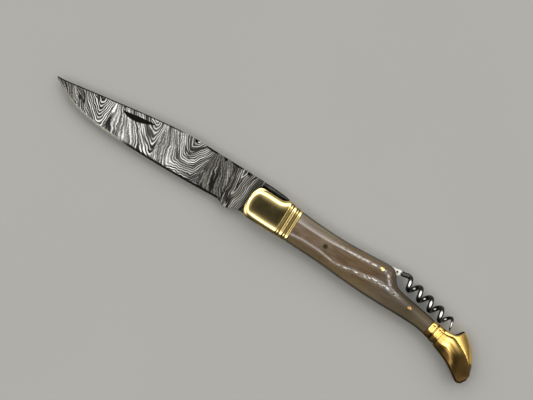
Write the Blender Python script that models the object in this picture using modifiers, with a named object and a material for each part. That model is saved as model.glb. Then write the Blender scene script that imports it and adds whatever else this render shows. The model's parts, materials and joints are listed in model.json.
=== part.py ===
"""A folding pocket knife with a corkscrew on its back, lying on its right side with the blade open.

Frame: +X runs from the blade towards the tail of the handle, +Y towards the spine of the blade and the
back of the handle, +Z up. The origin is on the blade's pivot axis, on the plane that the knife rests
on. Sizes below are in millimetres, and MM turns them into Blender's metres. Points are (x, y) pairs
measured from the pivot axis, and heights are measured from the knife's middle plane, which the frame
empty carries.
"""

import math

import bmesh
import bpy
from mathutils import Vector

MM = 0.001

# Layers, as half thicknesses measured from the middle plane.
HANDLE_HALF = 6.2
SLOT_HALF = 1.55
SPRING_HALF = 1.5
BLADE_HALF = 1.45
TANG_HALF = 1.4
LINER_OUTER = 2.5
SIDE_GAP = 0.05
COVER_INNER = LINER_OUTER + SIDE_GAP
END_GAP = 0.05

# Pins: radius, and the radial clearance of the hole round each.
PIN_RADIUS = 1.0
PIVOT_RADIUS = 1.5
RIVET_RADIUS = 0.8
CROSS_RADIUS = 0.45
PIN_CLEARANCE = 0.05
PIN_SIDES = 24
SMALL_PIN_SIDES = 16
BLIND_END = 5.3
RIVET_END = 4.6
BLIND_DEPTH = 0.1

# Joint axes and pin places.
PIVOT = (0.0, 0.0)
SPRING_PIVOT = (46.0, 6.65)
CORKSCREW_PIVOT = (57.5, 6.4)
SPRING_REAR = (96.6, -4.3)
SCALE_PIN_FRONT = (31.5, 1.5)
SCALE_PIN_REAR = (76.3, -2.1)
FRONT_RIVET = (12.6, 1.6)
REAR_RIVET = (91.4, -5.0)

# Blade: spine and edge lines, from the tip to the pivot.
SPINE = [(-106, 2.6), (-101, 3.1), (-91, 4.7), (-81, 6.3), (-71, 7.9), (-61, 9.35), (-51, 10.6),
         (-44, 11.2), (-36, 11.3), (-5.6, 11.3)]
EDGE = [(-106, 2.35), (-104, 0.8), (-101, -0.9), (-96, -3.3), (-91, -4.9), (-86, -5.9), (-81, -6.5),
        (-74, -6.95), (-66, -7.05), (-51, -7.0), (-36, -6.6), (-24, -6.0), (-19.4, -5.8), (-17.6, -6.3),
        (-15.5, -7.2), (-13, -6.8), (-11, -5.7), (-9, -5.2), (-5.6, -5.0)]
PLUNGE = (-18.9, -17.7)
BEVEL_HEIGHT = 0.85
BEVEL_HALF = 0.3
EDGE_HALF = 0.04
TIP_HALF = 0.45
TANG_RADIUS = 5.7
TANG_FLAT = 5.0
SHOULDER = -5.6
TIP_STATIONS = (0, 0.5, 1.2, 2.2, 3.5)
GRIND_START = 5
GRIND_STEPS = 26
RICASSO_STEPS = 12
TANG_STEPS = 4
TANG_ROUND_STEPS = 8
TANG_START = 0.02
TANG_END_SHARE = 0.995
TAPER_START = -40
TAPER_POWER = 1.6
NICK_CENTRE = (-66.3, 6.3)
NICK_FACE = 1.08
NICK_SLOPE = math.radians(7.7)
NICK_LENGTH = 16.0
NICK_DEPTH = 0.55
NICK_WIDTH = 2.1
NICK_CONE_LENGTH = 3
NICK_SIDES = 300
NOTCHES = (-39.8, -24.8, -13.2)
NOTCH_HEIGHT = 10.95
NOTCH_RADIUS = 0.55
SCALLOPS = (-32.0, -19.0)
SCALLOP_RADIUS = 9.25
SCALLOP_DEPTH = 0.65
SCALLOP_SIDES = 64
FILE_WORK_FLOOR = 0.35
FILE_WORK_SHIFT = 6.5

# Handle sections from the front bolster to the tail: (point on the back, point on the belly).
FRONT_NOSE = [((-7.6, 2.0), (-7.6, -0.3)), ((-7.35, 4.0), (-7.4, -2.0)), ((-6.8, 5.9), (-6.9, -3.6)),
              ((-5.9, 7.6), (-6.0, -5.0)), ((-4.6, 8.45), (-4.8, -5.75)), ((-3.0, 8.6), (-3.2, -5.95))]
FRONT_BODY = [((-3.0, 8.6), (-3.2, -5.95)), ((4.4, 8.5), (4.4, -6.0)), ((6.4, 8.9), (6.4, -6.0)),
              ((7.8, 9.8), (7.8, -6.0)), ((8.8, 10.1), (8.8, -6.0)), ((9.7, 10.0), (9.7, -6.0))]
FRONT_RIBS = [((9.7, 10.0), (9.7, -6.0)), ((12.5, 9.45), (12.5, -5.95)), ((15.6, 9.05), (15.6, -5.9))]
SCALE = [((15.6, 9.05), (15.6, -5.9)), ((22, 8.6), (22, -6.0)), ((32, 8.2), (32, -6.3)),
         ((42, 8.35), (42, -6.95)), ((52, 9.0), (52, -7.45)), ((58, 9.45), (57.5, -7.6)),
         ((61.5, 9.2), (61, -7.6)), ((63.7, 7.9), (63.5, -7.6)), ((65.3, 5.6), (65.5, -7.55)),
         ((67.2, 3.5), (67.5, -7.5)), ((70.6, 2.2), (70.5, -7.4)), ((77, 1.2), (76.5, -7.35)),
         ((83, 0.25), (82.3, -7.5)), ((88.5, -0.8), (87.2, -8.1))]
REAR_RIBS = [((88.5, -0.8), (87.2, -8.1)), ((91.6, -1.1), (90.3, -8.95)), ((94.7, -1.4), (93.0, -9.9))]
REAR_NECK = [((94.7, -1.4), (93.0, -9.9)), ((98.4, -1.6), (97.0, -11.4)),
             ((100.6, -0.75), (99.6, -12.4)), ((102.6, 2.0), (102.0, -13.5))]
REAR_HOOK = [((102.6, 2.0), (102.0, -13.5)), ((105, 0.3), (104, -14.6)), ((108, -2.1), (106, -15.9)),
             ((110.5, -5.0), (108, -17.2)), ((112.5, -8.5), (109.3, -18.1)),
             ((113.6, -12.5), (110.8, -18.45)), ((113.5, -15.8), (112.2, -17.9))]
RIB_DEPTH = 0.4
RIBBED = ((9.6, 15.0), (88.4, 94.8))
OUTLINE_TOLERANCE = 0.02
OUTLINE_STEPS = 2
NECK_STEPS = 3
SHARE_STEPS = 8

# Covers: heights above the middle plane, and shares of the half width.
SIDE_STEPS = 4
NOSE_HEIGHT = 5.6
NOSE_WALL = 5.2
NOSE_FLAT = 0.25
BOLSTER_WALL = 4.9
BOLSTER_FLAT = 0.62
RIB_DROP = 0.05
SCALE_CREST = 5.85
SCALE_SWELL = 0.3
SWELL_LENGTH = 48.0
SCALE_WALL = 3.6
SCALE_FLAT = 0.28
NECK_START = 64.0
NECK_DROP = 0.75
REAR_RIB_CREST = 5.4
REAR_RIB_RISE = 0.6
REAR_RIB_FLAT = 0.35
HOOK_FLAT = 0.4
FIN_HEIGHT = 3.1
FACET_HOLLOW = 1.25
FACET_START = (0.9, 0.32)
FACET_WIDENING = 0.75
FACET_CURVE = 2.2
FACET_MOST = 0.97
FACET_ENDING = 6
TAIL_DROP = 0.4
TAIL_CURVE = 2.4
FRONT_RIB_BANDS = ((9.95, 10.9), (11.15, 12.85), (13.1, 13.85), (14.1, 15.6))
REAR_RIB_SHARES = ((0.0, 0.44), (0.5, 0.88))
RIB_SECTIONS = (0.0, 0.1, 0.35, 0.65, 0.9, 1.0)

# Back spring: the arm that lifts, and the bar behind it.
ARM_BELLY = [(-5.35, 5.82), (4, 5.82), (14, 5.62), (18, 5.6), (26, 5.3), (34, 5.0), (44.6, 4.95)]
ARM_BACK = [(44.6, 8.45), (38, 8.15), (30, 8.15), (22, 8.55), (15.6, 9.0), (9.4, 9.9), (8.4, 9.98),
            (-5.35, 9.98)]
KNUCKLE_RADIUS = 1.72
KNUCKLE_ANGLE = 80
SOCKET_RADIUS = 1.9
SOCKET_ANGLE = 62
KNUCKLE_STEPS = 8
BAR_BACK = [(47.4, 8.6), (52.9, 9.0), (53.6, 8.7), (53.7, 5.2), (54.6, 4.0), (57.5, 3.45), (62, 3.3),
            (66.5, 3.2), (70.6, 2.15), (77, 1.15), (83, 0.2), (88.5, -0.85), (94.7, -1.45),
            (98.4, -1.65), (100.6, -0.8), (102.5, 1.9), (105, 0.25), (108, -2.15), (110.5, -5.05),
            (112.5, -8.55), (113.55, -12.5), (113.45, -15.8), (112.3, -17.8), (110.8, -18.4),
            (109.3, -18.0)]
BAR_BELLY = [(107.1, -16.4), (106.5, -14.4), (105.2, -12.6), (100.2, -9.2), (95, -6.2), (90, -4.2),
             (84, -2.35), (76, -0.85), (70, 0.1), (62, 0.95), (57.5, 1.3), (54, 2.1), (50.5, 4.3),
             (47.4, 4.9)]
PAD_PROFILE = [(-5.3, 10.03), (7.9, 10.03), (8.1, 10.25), (7.4, 10.6), (5, 10.95), (0, 11.2), (-5.3, 11.27)]
PAD_HALF = 2.3
PAD_EDGE = 0.25

# Corkscrew, folded: the tang's outline, and a wire whose shank leaves the tang's end and rises to the
# first top of a helix.
HEEL_RADIUS = 2.75
HEEL_ANGLES = (-25, -270)
HEEL_STEPS = 14
TANG_BACK = [(60, 9.5), (62, 9.8), (64, 10.15), (65.95, 10.05)]
TANG_BELLY = [(65.3, 7.05), (63.6, 6.9), (61.6, 6.2)]
WORM_START = (66.0, 8.12)
WORM_SLOPE = math.radians(-12.5)
WORM_PITCH = 6.31
WORM_RADIUS = 2.2
WORM_WIRE = 1.05
WORM_LENGTH = 32.0
WORM_FIRST_TOP = 3.7
WORM_LEAD = 3.2
WORM_START_RISE = 0.95
WORM_STEPS = 80
WORM_ROUNDNESS = 2
SHANK_SLOPE = math.radians(10)
SHANK_LENGTH = 3.1
SHANK_WIRE = 0.85
SHANK_RUNOUT = 0.5
SHANK_CUTTER_EXCESS = 1
TIP_TAPER = 7.0
TIP_SHARE = 0.22
TIP_CURVE = 0.7
CROSS_PIN = (63.9, 8.65)

CREASE_ANGLE = math.radians(35)
WELD_DISTANCE = 0.001


def clear_scene():
    for old in list(bpy.data.objects):
        bpy.data.objects.remove(old)


def new_collection(name):
    found = bpy.data.collections.new(name)
    bpy.context.scene.collection.children.link(found)
    return found


def new_material(name, colour, roughness, metallic):
    """A Principled material with one colour, which the viewport shows too."""
    made = bpy.data.materials.new(name)
    made.use_nodes = True
    shader = made.node_tree.nodes["Principled BSDF"]
    shader.inputs["Base Color"].default_value = (*colour, 1)
    shader.inputs["Roughness"].default_value = roughness
    shader.inputs["Metallic"].default_value = metallic
    made.diffuse_color = (*colour, 1)
    return made


def make_object(name, mesh, material):
    """A node of the knife, placed in the frame empty, round edges shaded smooth."""
    obj = bpy.data.objects.new(name, mesh)
    KNIFE.objects.link(obj)
    obj.parent = FRAME
    mesh.materials.clear()
    mesh.materials.append(material)
    mesh.shade_smooth()
    mesh.set_sharp_from_angle(angle=CREASE_ANGLE)
    return obj


def as_helper(obj):
    """Turns a node into a cutter or a guide, which isn't part of the knife."""
    KNIFE.objects.unlink(obj)
    HELPERS.objects.link(obj)
    obj.hide_render = True
    obj.display_type = "WIRE"
    return obj


def boolean(obj, other, operation="DIFFERENCE"):
    modifier = obj.modifiers.new(other.name, "BOOLEAN")
    modifier.operation = operation
    modifier.object = other
    modifier.solver = "EXACT"


def slope_at(points, i):
    """Rise over run at point i of a line y(x), from its neighbours."""
    before = points[max(i - 1, 0)]
    after = points[min(i + 1, len(points) - 1)]
    return (after[1] - before[1]) / (after[0] - before[0])


def line_at(points, x):
    """y at x on a smooth line through the points."""
    i = max(k for k in range(len(points) - 1) if points[k][0] <= x or k == 0)
    (x0, y0), (x1, y1) = points[i], points[i + 1]
    run = x1 - x0
    t = (x - x0) / run
    start = slope_at(points, i) * run
    end = slope_at(points, i + 1) * run
    rise = 3 * t**2 - 2 * t**3
    return (1 - rise) * y0 + rise * y1 + (t**3 - 2 * t**2 + t) * start + (t**3 - t**2) * end


def between(before, here, after, beyond, t):
    """A point on the Catmull-Rom curve from here to after, as a vector."""
    return 0.5 * (2 * here + (after - before) * t + (2 * before - 5 * here + 4 * after - beyond) * t**2
                  + (3 * here - before - 3 * after + beyond) * t**3)


def smooth_path(points, steps):
    """The points with steps - 1 more between each pair, on a smooth curve through them."""
    given = [Vector(p) for p in points]
    padded = [2 * given[0] - given[1], *given, 2 * given[-1] - given[-2]]
    path = []
    for i in range(1, len(padded) - 2):
        path += [between(*padded[i - 1:i + 3], k / steps) for k in range(steps)]
    return path + [given[-1]]


def smooth_sections(sections, steps):
    """More handle sections between the given ones, both lines smooth."""
    return smooth_path([(*back, *belly) for back, belly in sections], steps)


def arc(centre, radius, start, end, steps):
    """Points on an arc between two angles in degrees."""
    return [(centre[0] + radius * math.cos(a), centre[1] + radius * math.sin(a))
            for a in (math.radians(start + (end - start) * k / steps) for k in range(steps + 1))]


def simplified(points, tolerance):
    """The points without those that lie within tolerance of a straight line between the ones kept."""
    start, end = Vector(points[0]), Vector(points[-1])
    chord = (end - start).normalized()
    away = [abs(chord.cross(Vector(p) - start)) for p in points]
    furthest = max(range(len(points)), key=away.__getitem__)
    if away[furthest] <= tolerance:
        return [points[0], points[-1]]
    return simplified(points[:furthest + 1], tolerance)[:-1] + simplified(points[furthest:], tolerance)


def outline_mesh(name, points, half):
    """A flat outline, extruded both ways by half, as a closed mesh."""
    curve = bpy.data.curves.new(name, "CURVE")
    curve.dimensions = "2D"
    curve.fill_mode = "BOTH"
    curve.extrude = half * MM
    spline = curve.splines.new("POLY")
    spline.points.add(len(points) - 1)
    for point, (x, y) in zip(spline.points, points):
        point.co = (x * MM, y * MM, 0, 1)
    spline.use_cyclic_u = True
    return welded_mesh(name, curve)


def welded_mesh(name, curve):
    """The mesh of a curve, with its caps joined to its sides."""
    guide = bpy.data.objects.new(name + "_curve", curve)
    bpy.context.scene.collection.objects.link(guide)
    bpy.context.view_layer.update()
    graph = bpy.context.evaluated_depsgraph_get()
    mesh = bpy.data.meshes.new_from_object(guide.evaluated_get(graph))
    bpy.data.objects.remove(guide)
    sheet = bmesh.new()
    sheet.from_mesh(mesh)
    bmesh.ops.remove_doubles(sheet, verts=sheet.verts, dist=WELD_DISTANCE * MM)
    bmesh.ops.recalc_face_normals(sheet, faces=sheet.faces)
    sheet.to_mesh(mesh)
    sheet.free()
    return mesh


def flat_part(name, points, low, high, material):
    """A plate with the given outline between two heights."""
    obj = make_object(name, outline_mesh(name, points, (high - low) / 2), material)
    obj.location.z = (low + high) / 2 * MM
    return obj


def loft_mesh(name, rings):
    """A closed mesh through rings of points, each ring with the same number, both ends capped."""
    made = bmesh.new()
    loops = [[made.verts.new(Vector(p) * MM) for p in ring] for ring in rings]
    count = len(loops[0])
    for a, b in zip(loops, loops[1:]):
        for i in range(count):
            j = (i + 1) % count
            made.faces.new((a[i], a[j], b[j], b[i]))
    made.faces.new(loops[0])
    made.faces.new(loops[-1])
    bmesh.ops.recalc_face_normals(made, faces=made.faces)
    mesh = bpy.data.meshes.new(name)
    made.to_mesh(mesh)
    made.free()
    return mesh


def cylinder(name, place, radius, low, high, material, sides=PIN_SIDES):
    """A pin standing on the knife's side, between two heights."""
    round_bar = bmesh.new()
    size = {"radius1": radius * MM, "radius2": radius * MM, "depth": (high - low) * MM}
    bmesh.ops.create_cone(round_bar, cap_ends=True, segments=sides, **size)
    mesh = bpy.data.meshes.new(name)
    round_bar.to_mesh(mesh)
    round_bar.free()
    obj = make_object(name, mesh, material)
    obj.location = (place[0] * MM, place[1] * MM, (low + high) / 2 * MM)
    return obj


def hole_cutter(name, place, radius, end=2 * HANDLE_HALF):
    """A cutter for a pin's hole that reaches end both ways from the middle plane."""
    return as_helper(cylinder("cut_" + name, place, radius + PIN_CLEARANCE, -end, end, STEEL))


# ---- Covers: bolsters and scales, each a crowned half built from sections of the handle


def crown_side(flat, wall, top):
    """(share of the half width, height) from the edge of a crowned section in to its flat."""
    steps = [math.pi / 2 * k / SIDE_STEPS for k in range(SIDE_STEPS + 1)]
    return [(flat + (1 - flat) * math.cos(a), wall + (top - wall) * math.sin(a)) for a in steps]


def facet_side(start, fin, top):
    """The same for the hook's slightly hollow facet, which falls from its inner line to a thin fin."""
    steps = [k / SIDE_STEPS for k in range(SIDE_STEPS + 1)]
    return [(1 - (1 - start) * t, fin + (top - fin) * t**FACET_HOLLOW) for t in steps]


def cover_ring(section, crest, wall, flat, grow=0.0, facet=None):
    """One closed ring of a cover: walls at both edges, and between them a crown or, by the back, a facet.

    facet is (how far the crown has given way to it, where it starts across the width, the fin's height).
    """
    back, belly = Vector(section[:2]), Vector(section[2:])
    middle, half = (back + belly) / 2, (back - belly) / 2
    reach = half * (1 + grow / half.length)
    top = crest + grow
    crown = crown_side(flat, wall, top)
    back_side = crown
    if facet:
        share, start, fin = facet
        hollow = facet_side(start, fin, top)
        back_side = [
            (a[0] + (b[0] - a[0]) * share, a[1] + (b[1] - a[1]) * share) for a, b in zip(crown, hollow)
        ]
    profile = back_side + [(-across, height) for across, height in reversed(crown)]
    low = [(*(middle - reach), COVER_INNER), (*(middle + reach), COVER_INNER)]
    return low + [(*(middle + reach * across), height) for across, height in profile]


def rib_grow(x, bands):
    """How far a ribbed part stands off its outline at x: half-round ribs between grooves."""
    for start, end in bands:
        if start <= x <= end:
            share = 2 * (x - start) / (end - start) - 1
            return -RIB_DEPTH * (1 - math.sqrt(max(0.0, 1 - share**2)))
    return -RIB_DEPTH


def rib_stations(bands, first, last):
    """Where to put sections so that each rib is round and each groove has its floor."""
    stations = {first, last}
    for start, end in bands:
        stations |= {start + (end - start) * share for share in RIB_SECTIONS}
    return sorted(s for s in stations if first <= s <= last)


def section_share(sections, share):
    """The section a share of the way along a smooth run of sections."""
    path = smooth_sections(sections, SHARE_STEPS)
    place = share * (len(path) - 1)
    i = min(int(place), len(path) - 2)
    return path[i].lerp(path[i + 1], place - i)


def front_bolster_rings():
    rings = []
    nose = smooth_sections(FRONT_NOSE, OUTLINE_STEPS)
    for section in nose:
        share = (section[0] - nose[0][0]) / (nose[-1][0] - nose[0][0])
        rise = math.sqrt(1 - (1 - share) ** 2)
        crest = NOSE_HEIGHT + (HANDLE_HALF - NOSE_HEIGHT) * rise
        wall = NOSE_WALL + (BOLSTER_WALL - NOSE_WALL) * rise
        rings.append(cover_ring(section, crest, wall, NOSE_FLAT + (BOLSTER_FLAT - NOSE_FLAT) * rise))
    for section in smooth_sections(FRONT_BODY, OUTLINE_STEPS)[1:]:
        rings.append(cover_ring(section, HANDLE_HALF, BOLSTER_WALL, BOLSTER_FLAT))
    first, last = FRONT_RIBS[0][0][0], FRONT_RIBS[-1][0][0]
    for x in rib_stations(FRONT_RIB_BANDS, first, last)[1:]:
        section = section_share(FRONT_RIBS, (x - first) / (last - first))
        grow = rib_grow(x, FRONT_RIB_BANDS)
        rings.append(cover_ring(section, HANDLE_HALF - RIB_DROP, BOLSTER_WALL, BOLSTER_FLAT, grow))
    return rings


def scale_rings():
    """The horn covers: a soft crown, lower where the neck narrows behind the corkscrew's recess."""
    rings = []
    for section in smooth_sections(SCALE, OUTLINE_STEPS):
        neck = max(0.0, (section[0] - NECK_START) / (SCALE[-1][0][0] - NECK_START))
        swell = math.sin(math.pi / 2 * min(1.0, (section[0] - SCALE[0][0][0]) / SWELL_LENGTH))
        crest = SCALE_CREST + SCALE_SWELL * swell - NECK_DROP * neck
        rings.append(cover_ring(section, crest, SCALE_WALL, SCALE_FLAT))
    return rings


def rear_bolster_rings():
    """Two ribs, a neck on which the facet opens, and a hook whose facet narrows again towards its tail."""
    rings = []
    for share in rib_stations(REAR_RIB_SHARES, 0.0, 1.0):
        section = section_share(REAR_RIBS, share)
        crest = REAR_RIB_CREST + REAR_RIB_RISE * share
        grow = rib_grow(share, REAR_RIB_SHARES)
        rings.append(cover_ring(section, crest, SCALE_WALL, REAR_RIB_FLAT, grow))
    narrow, wide = FACET_START
    neck = smooth_sections(REAR_NECK, NECK_STEPS)[1:]
    for i, section in enumerate(neck):
        share = (i + 1) / len(neck)
        fin = SCALE_WALL + (FIN_HEIGHT - SCALE_WALL) * share
        facet = (min(1.0, 2 * share), narrow + (wide - narrow) * share, fin)
        rings.append(cover_ring(section, HANDLE_HALF, SCALE_WALL, HOOK_FLAT, facet=facet))
    hook = smooth_sections(REAR_HOOK, OUTLINE_STEPS)[1:]
    for i, section in enumerate(hook):
        share = (i + 1) / len(hook)
        inner = min(FACET_MOST, wide + FACET_WIDENING * share**FACET_CURVE)
        facet = (1 - share**FACET_ENDING, inner, FIN_HEIGHT)
        wall = SCALE_WALL + (FIN_HEIGHT - SCALE_WALL) * share
        crest = HANDLE_HALF - TAIL_DROP * share**TAIL_CURVE
        rings.append(cover_ring(section, crest, wall, HOOK_FLAT, facet=facet))
    return rings


def mirrored(rings):
    return [[(x, y, -z) for x, y, z in ring] for ring in rings]


def cover(name, rings, material, cutters):
    obj = make_object(name, loft_mesh(name, rings), material)
    for cutter in cutters:
        boolean(obj, cutter)
    return obj


def trimmed(rings, first_shift, last_shift):
    """The rings with the end rings moved along x, for a gap to the next cover."""
    ends = (
        [(x + first_shift, y, z) for x, y, z in rings[0]],
        [(x + last_shift, y, z) for x, y, z in rings[-1]],
    )
    return [ends[0], *rings[1:-1], ends[1]]


def build_covers():
    """Both sides of the handle: front bolster, scale and rear bolster."""
    makers = (("front_bolster", front_bolster_rings, BRASS, 0, 0),
              ("scale", scale_rings, HORN, END_GAP, -END_GAP),
              ("rear_bolster", rear_bolster_rings, BRASS, 0, 0))
    for name, make_rings, material, first, last in makers:
        rings = trimmed(make_rings(), first, last)
        for side in ("left", "right"):
            shown = rings if side == "left" else mirrored(rings)
            cover(f"{name}_{side}", shown, material, COVER_CUTTERS[name, side])


# ---- Inner parts


def narrowed(section, inset):
    """The section with both its ends moved in by inset."""
    back, belly = Vector(section[:2]), Vector(section[2:])
    step = (back - belly).normalized() * inset
    return Vector((*(back - step), *(belly + step)))


def handle_outline():
    """The handle's whole outline, which the liners and their covers share."""
    sections = []
    for run in (FRONT_NOSE, FRONT_BODY, FRONT_RIBS, SCALE, REAR_RIBS, REAR_NECK, REAR_HOOK):
        for section in smooth_sections(run, OUTLINE_STEPS)[:-1]:
            ribbed = any(start <= section[0] <= end for start, end in RIBBED)
            sections.append(narrowed(section, RIB_DEPTH if ribbed else 0.0))
    sections.append(Vector((*REAR_HOOK[-1][0], *REAR_HOOK[-1][1])))
    back, belly = [s[:2] for s in sections], [s[2:] for s in reversed(sections)]
    return simplified(back, OUTLINE_TOLERANCE) + simplified(belly, OUTLINE_TOLERANCE)


def build_liners():
    outline = handle_outline()
    for side, low, high in (("left", SLOT_HALF, LINER_OUTER), ("right", -LINER_OUTER, -SLOT_HALF)):
        liner = flat_part(f"liner_{side}", outline, low, high, LINER_STEEL)
        for cutter in LINER_CUTTERS:
            boolean(liner, cutter)


def build_spring():
    """The arm ends in a knuckle on the middle pin, and the bar has a socket round it."""
    knuckle = arc(SPRING_PIVOT, KNUCKLE_RADIUS, -KNUCKLE_ANGLE, KNUCKLE_ANGLE, KNUCKLE_STEPS)
    arm = flat_part("spring_arm", ARM_BELLY + knuckle + ARM_BACK, -SPRING_HALF, SPRING_HALF, SPRING_STEEL)
    boolean(arm, SPRING_PIN_CUTTER)
    socket = arc(SPRING_PIVOT, SOCKET_RADIUS, -SOCKET_ANGLE, SOCKET_ANGLE, KNUCKLE_STEPS)
    bar = flat_part("spring_bar", socket + BAR_BACK + BAR_BELLY, -SPRING_HALF, SPRING_HALF, SPRING_STEEL)
    boolean(bar, REAR_PIN_CUTTER)
    pad = flat_part("thumb_pad", PAD_PROFILE, -PAD_HALF, PAD_HALF, SPRING_STEEL)
    edges = pad.modifiers.new("rounded_edges", "BEVEL")
    edges.width = PAD_EDGE * MM
    edges.segments = 2
    edges.limit_method = "ANGLE"


def blade_ring(x):
    """A blade section at x: a flat grind with a sharpening bevel, or the full thickness at the ricasso."""
    spine, edge = line_at(SPINE, x), line_at(EDGE, x)
    ground = min(1.0, max(0.0, (PLUNGE[1] - x) / (PLUNGE[1] - PLUNGE[0])))
    taper = max(0.0, (TAPER_START - x) / (TAPER_START - SPINE[0][0]))
    half = BLADE_HALF - (BLADE_HALF - TIP_HALF) * taper**TAPER_POWER
    shoulder = min(edge + BEVEL_HEIGHT, (spine + edge) / 2)
    bevel = BEVEL_HALF + (BLADE_HALF - BEVEL_HALF) * (1 - ground)
    sharp = EDGE_HALF + (BLADE_HALF - EDGE_HALF) * (1 - ground)
    side = [(spine, half), (shoulder, min(bevel, half)), (edge, min(sharp, half))]
    return [(x, y, z) for y, z in side] + [(x, y, -z) for y, z in reversed(side)]


def tang_ring(x):
    """A section of the tang behind the shoulder: straight on the back, then round behind the pivot."""
    drop = math.sqrt(max(0.0, TANG_RADIUS**2 - x**2))
    back = TANG_RADIUS if x < 0 else drop
    belly = -max(drop, TANG_FLAT + (TANG_RADIUS - TANG_FLAT) * (1 - x / SHOULDER)) if x < 0 else -drop
    levels = (back, (back + belly) / 2, belly)
    return [(x, y, BLADE_HALF) for y in levels] + [(x, y, -BLADE_HALF) for y in reversed(levels)]


def evenly(start, end, steps):
    return [start + (end - start) * k / steps for k in range(steps + 1)]


def blade_stations():
    """Where the blade's sections stand: close together at the tip and at the plunge line."""
    tip = SPINE[0][0]
    front = [tip + ahead for ahead in TIP_STATIONS]
    body = evenly(tip + GRIND_START, PLUNGE[0], GRIND_STEPS)
    ricasso = evenly(PLUNGE[1], SHOULDER, RICASSO_STEPS)
    return front + body + [sum(PLUNGE) / 2] + ricasso


def tang_stations():
    """Where the tang's sections stand: from the shoulder to the pivot, then round its end."""
    ahead = evenly(SHOULDER, 0.0, TANG_STEPS)[1:-1]
    turns = [math.pi / 2 * k / TANG_ROUND_STEPS for k in range(TANG_ROUND_STEPS)]
    behind = [TANG_RADIUS * math.sin(turn) for turn in turns]
    return [SHOULDER + TANG_START, *ahead, *behind, TANG_RADIUS * TANG_END_SHARE]


def nick_cutter():
    """A flat cone on its side: its base cuts the nick's straight upper wall, its slope the curved floor."""
    radius = ((NICK_LENGTH / 2) ** 2 + NICK_DEPTH**2) / (2 * NICK_DEPTH)
    depth = NICK_CONE_LENGTH * NICK_WIDTH
    narrow = radius - NICK_CONE_LENGTH * NICK_DEPTH
    cone = bmesh.new()
    size = {"radius1": radius * MM, "radius2": narrow * MM, "depth": depth * MM}
    bmesh.ops.create_cone(cone, cap_ends=True, segments=NICK_SIDES, **size)
    mesh = bpy.data.meshes.new("cut_nick")
    cone.to_mesh(mesh)
    cone.free()
    cutter = as_helper(make_object("cut_nick", mesh, STEEL))
    towards_edge = Vector((math.sin(NICK_SLOPE), -math.cos(NICK_SLOPE), 0))
    base = Vector((*NICK_CENTRE, NICK_FACE - NICK_DEPTH + radius))
    cutter.location = (base + towards_edge * depth / 2) * MM
    cutter.rotation_euler = towards_edge.to_track_quat("Z", "X").to_euler()
    return cutter


def build_blade():
    rings = [blade_ring(x) for x in blade_stations()] + [tang_ring(x) for x in tang_stations()]
    blade = make_object("blade", loft_mesh("blade", rings), DAMASCUS)
    boolean(blade, PIVOT_CUTTER)
    boolean(blade, nick_cutter())
    for x in NOTCHES:
        file_both_sides(blade, "notch", (x, NOTCH_HEIGHT), NOTCH_RADIUS, SMALL_PIN_SIDES)
    for x in SCALLOPS:
        place = (x, SPINE[-1][1] - SCALLOP_DEPTH + SCALLOP_RADIUS)
        file_both_sides(blade, "scallop", place, SCALLOP_RADIUS, SCALLOP_SIDES)


def file_both_sides(blade, name, place, radius, sides):
    """Files a round cut into the spine's corner on each side of the blade, the two out of step."""
    for side, shift in ((1, 0), (-1, FILE_WORK_SHIFT)):
        label = f"cut_{name}_{side}_{-place[0]:.0f}"
        centre = (place[0] + shift, place[1])
        cut = cylinder(label, centre, radius, FILE_WORK_FLOOR, 2 * BLADE_HALF, STEEL, sides)
        cut.location.z *= side
        boolean(blade, as_helper(cut))


def worm_points():
    """(point, wire radius) along the wire: the shank, the rise to the first top, then the coil."""
    ahead = Vector((math.cos(WORM_SLOPE), math.sin(WORM_SLOPE), 0))
    up = Vector((-math.sin(WORM_SLOPE), math.cos(WORM_SLOPE), 0))
    start = Vector((*WORM_START, 0))
    points = [(shank_exit() - shank_direction() * SHANK_LENGTH, SHANK_WIRE)]
    for k in range(WORM_STEPS + 1):
        s = WORM_LENGTH * k / WORM_STEPS
        turn = 2 * math.pi * max(0.0, s - WORM_FIRST_TOP) / WORM_PITCH
        lead = min(1.0, s / WORM_LEAD)
        coil = WORM_START_RISE + (WORM_RADIUS - WORM_START_RISE) * lead * lead * (3 - 2 * lead)
        taper = min(1.0, (WORM_LENGTH - s) / TIP_TAPER)
        wire = min(WORM_WIRE, SHANK_WIRE + (WORM_WIRE - SHANK_WIRE) * s / SHANK_RUNOUT)
        place = start + ahead * s + up * coil * math.cos(turn) + Vector((0, 0, coil * math.sin(turn)))
        points.append((place, wire * (TIP_SHARE + (1 - TIP_SHARE) * taper**TIP_CURVE)))
    return points


def shank_exit():
    """Where the wire leaves the tang."""
    up = Vector((-math.sin(WORM_SLOPE), math.cos(WORM_SLOPE), 0))
    return Vector((*WORM_START, 0)) + up * WORM_START_RISE


def shank_direction():
    return Vector((math.cos(SHANK_SLOPE), math.sin(SHANK_SLOPE), 0))


def shank_cutter():
    """The tang's blind hole for the wire's shank."""
    length = SHANK_LENGTH + END_GAP + SHANK_CUTTER_EXCESS
    middle = shank_exit() + shank_direction() * (SHANK_CUTTER_EXCESS - length / 2)
    cutter = cylinder("cut_shank", (0, 0), SHANK_WIRE + SIDE_GAP, 0, length, STEEL, SMALL_PIN_SIDES)
    cutter.location = middle * MM
    cutter.rotation_euler = (0, math.pi / 2, SHANK_SLOPE)
    return as_helper(cutter)


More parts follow.
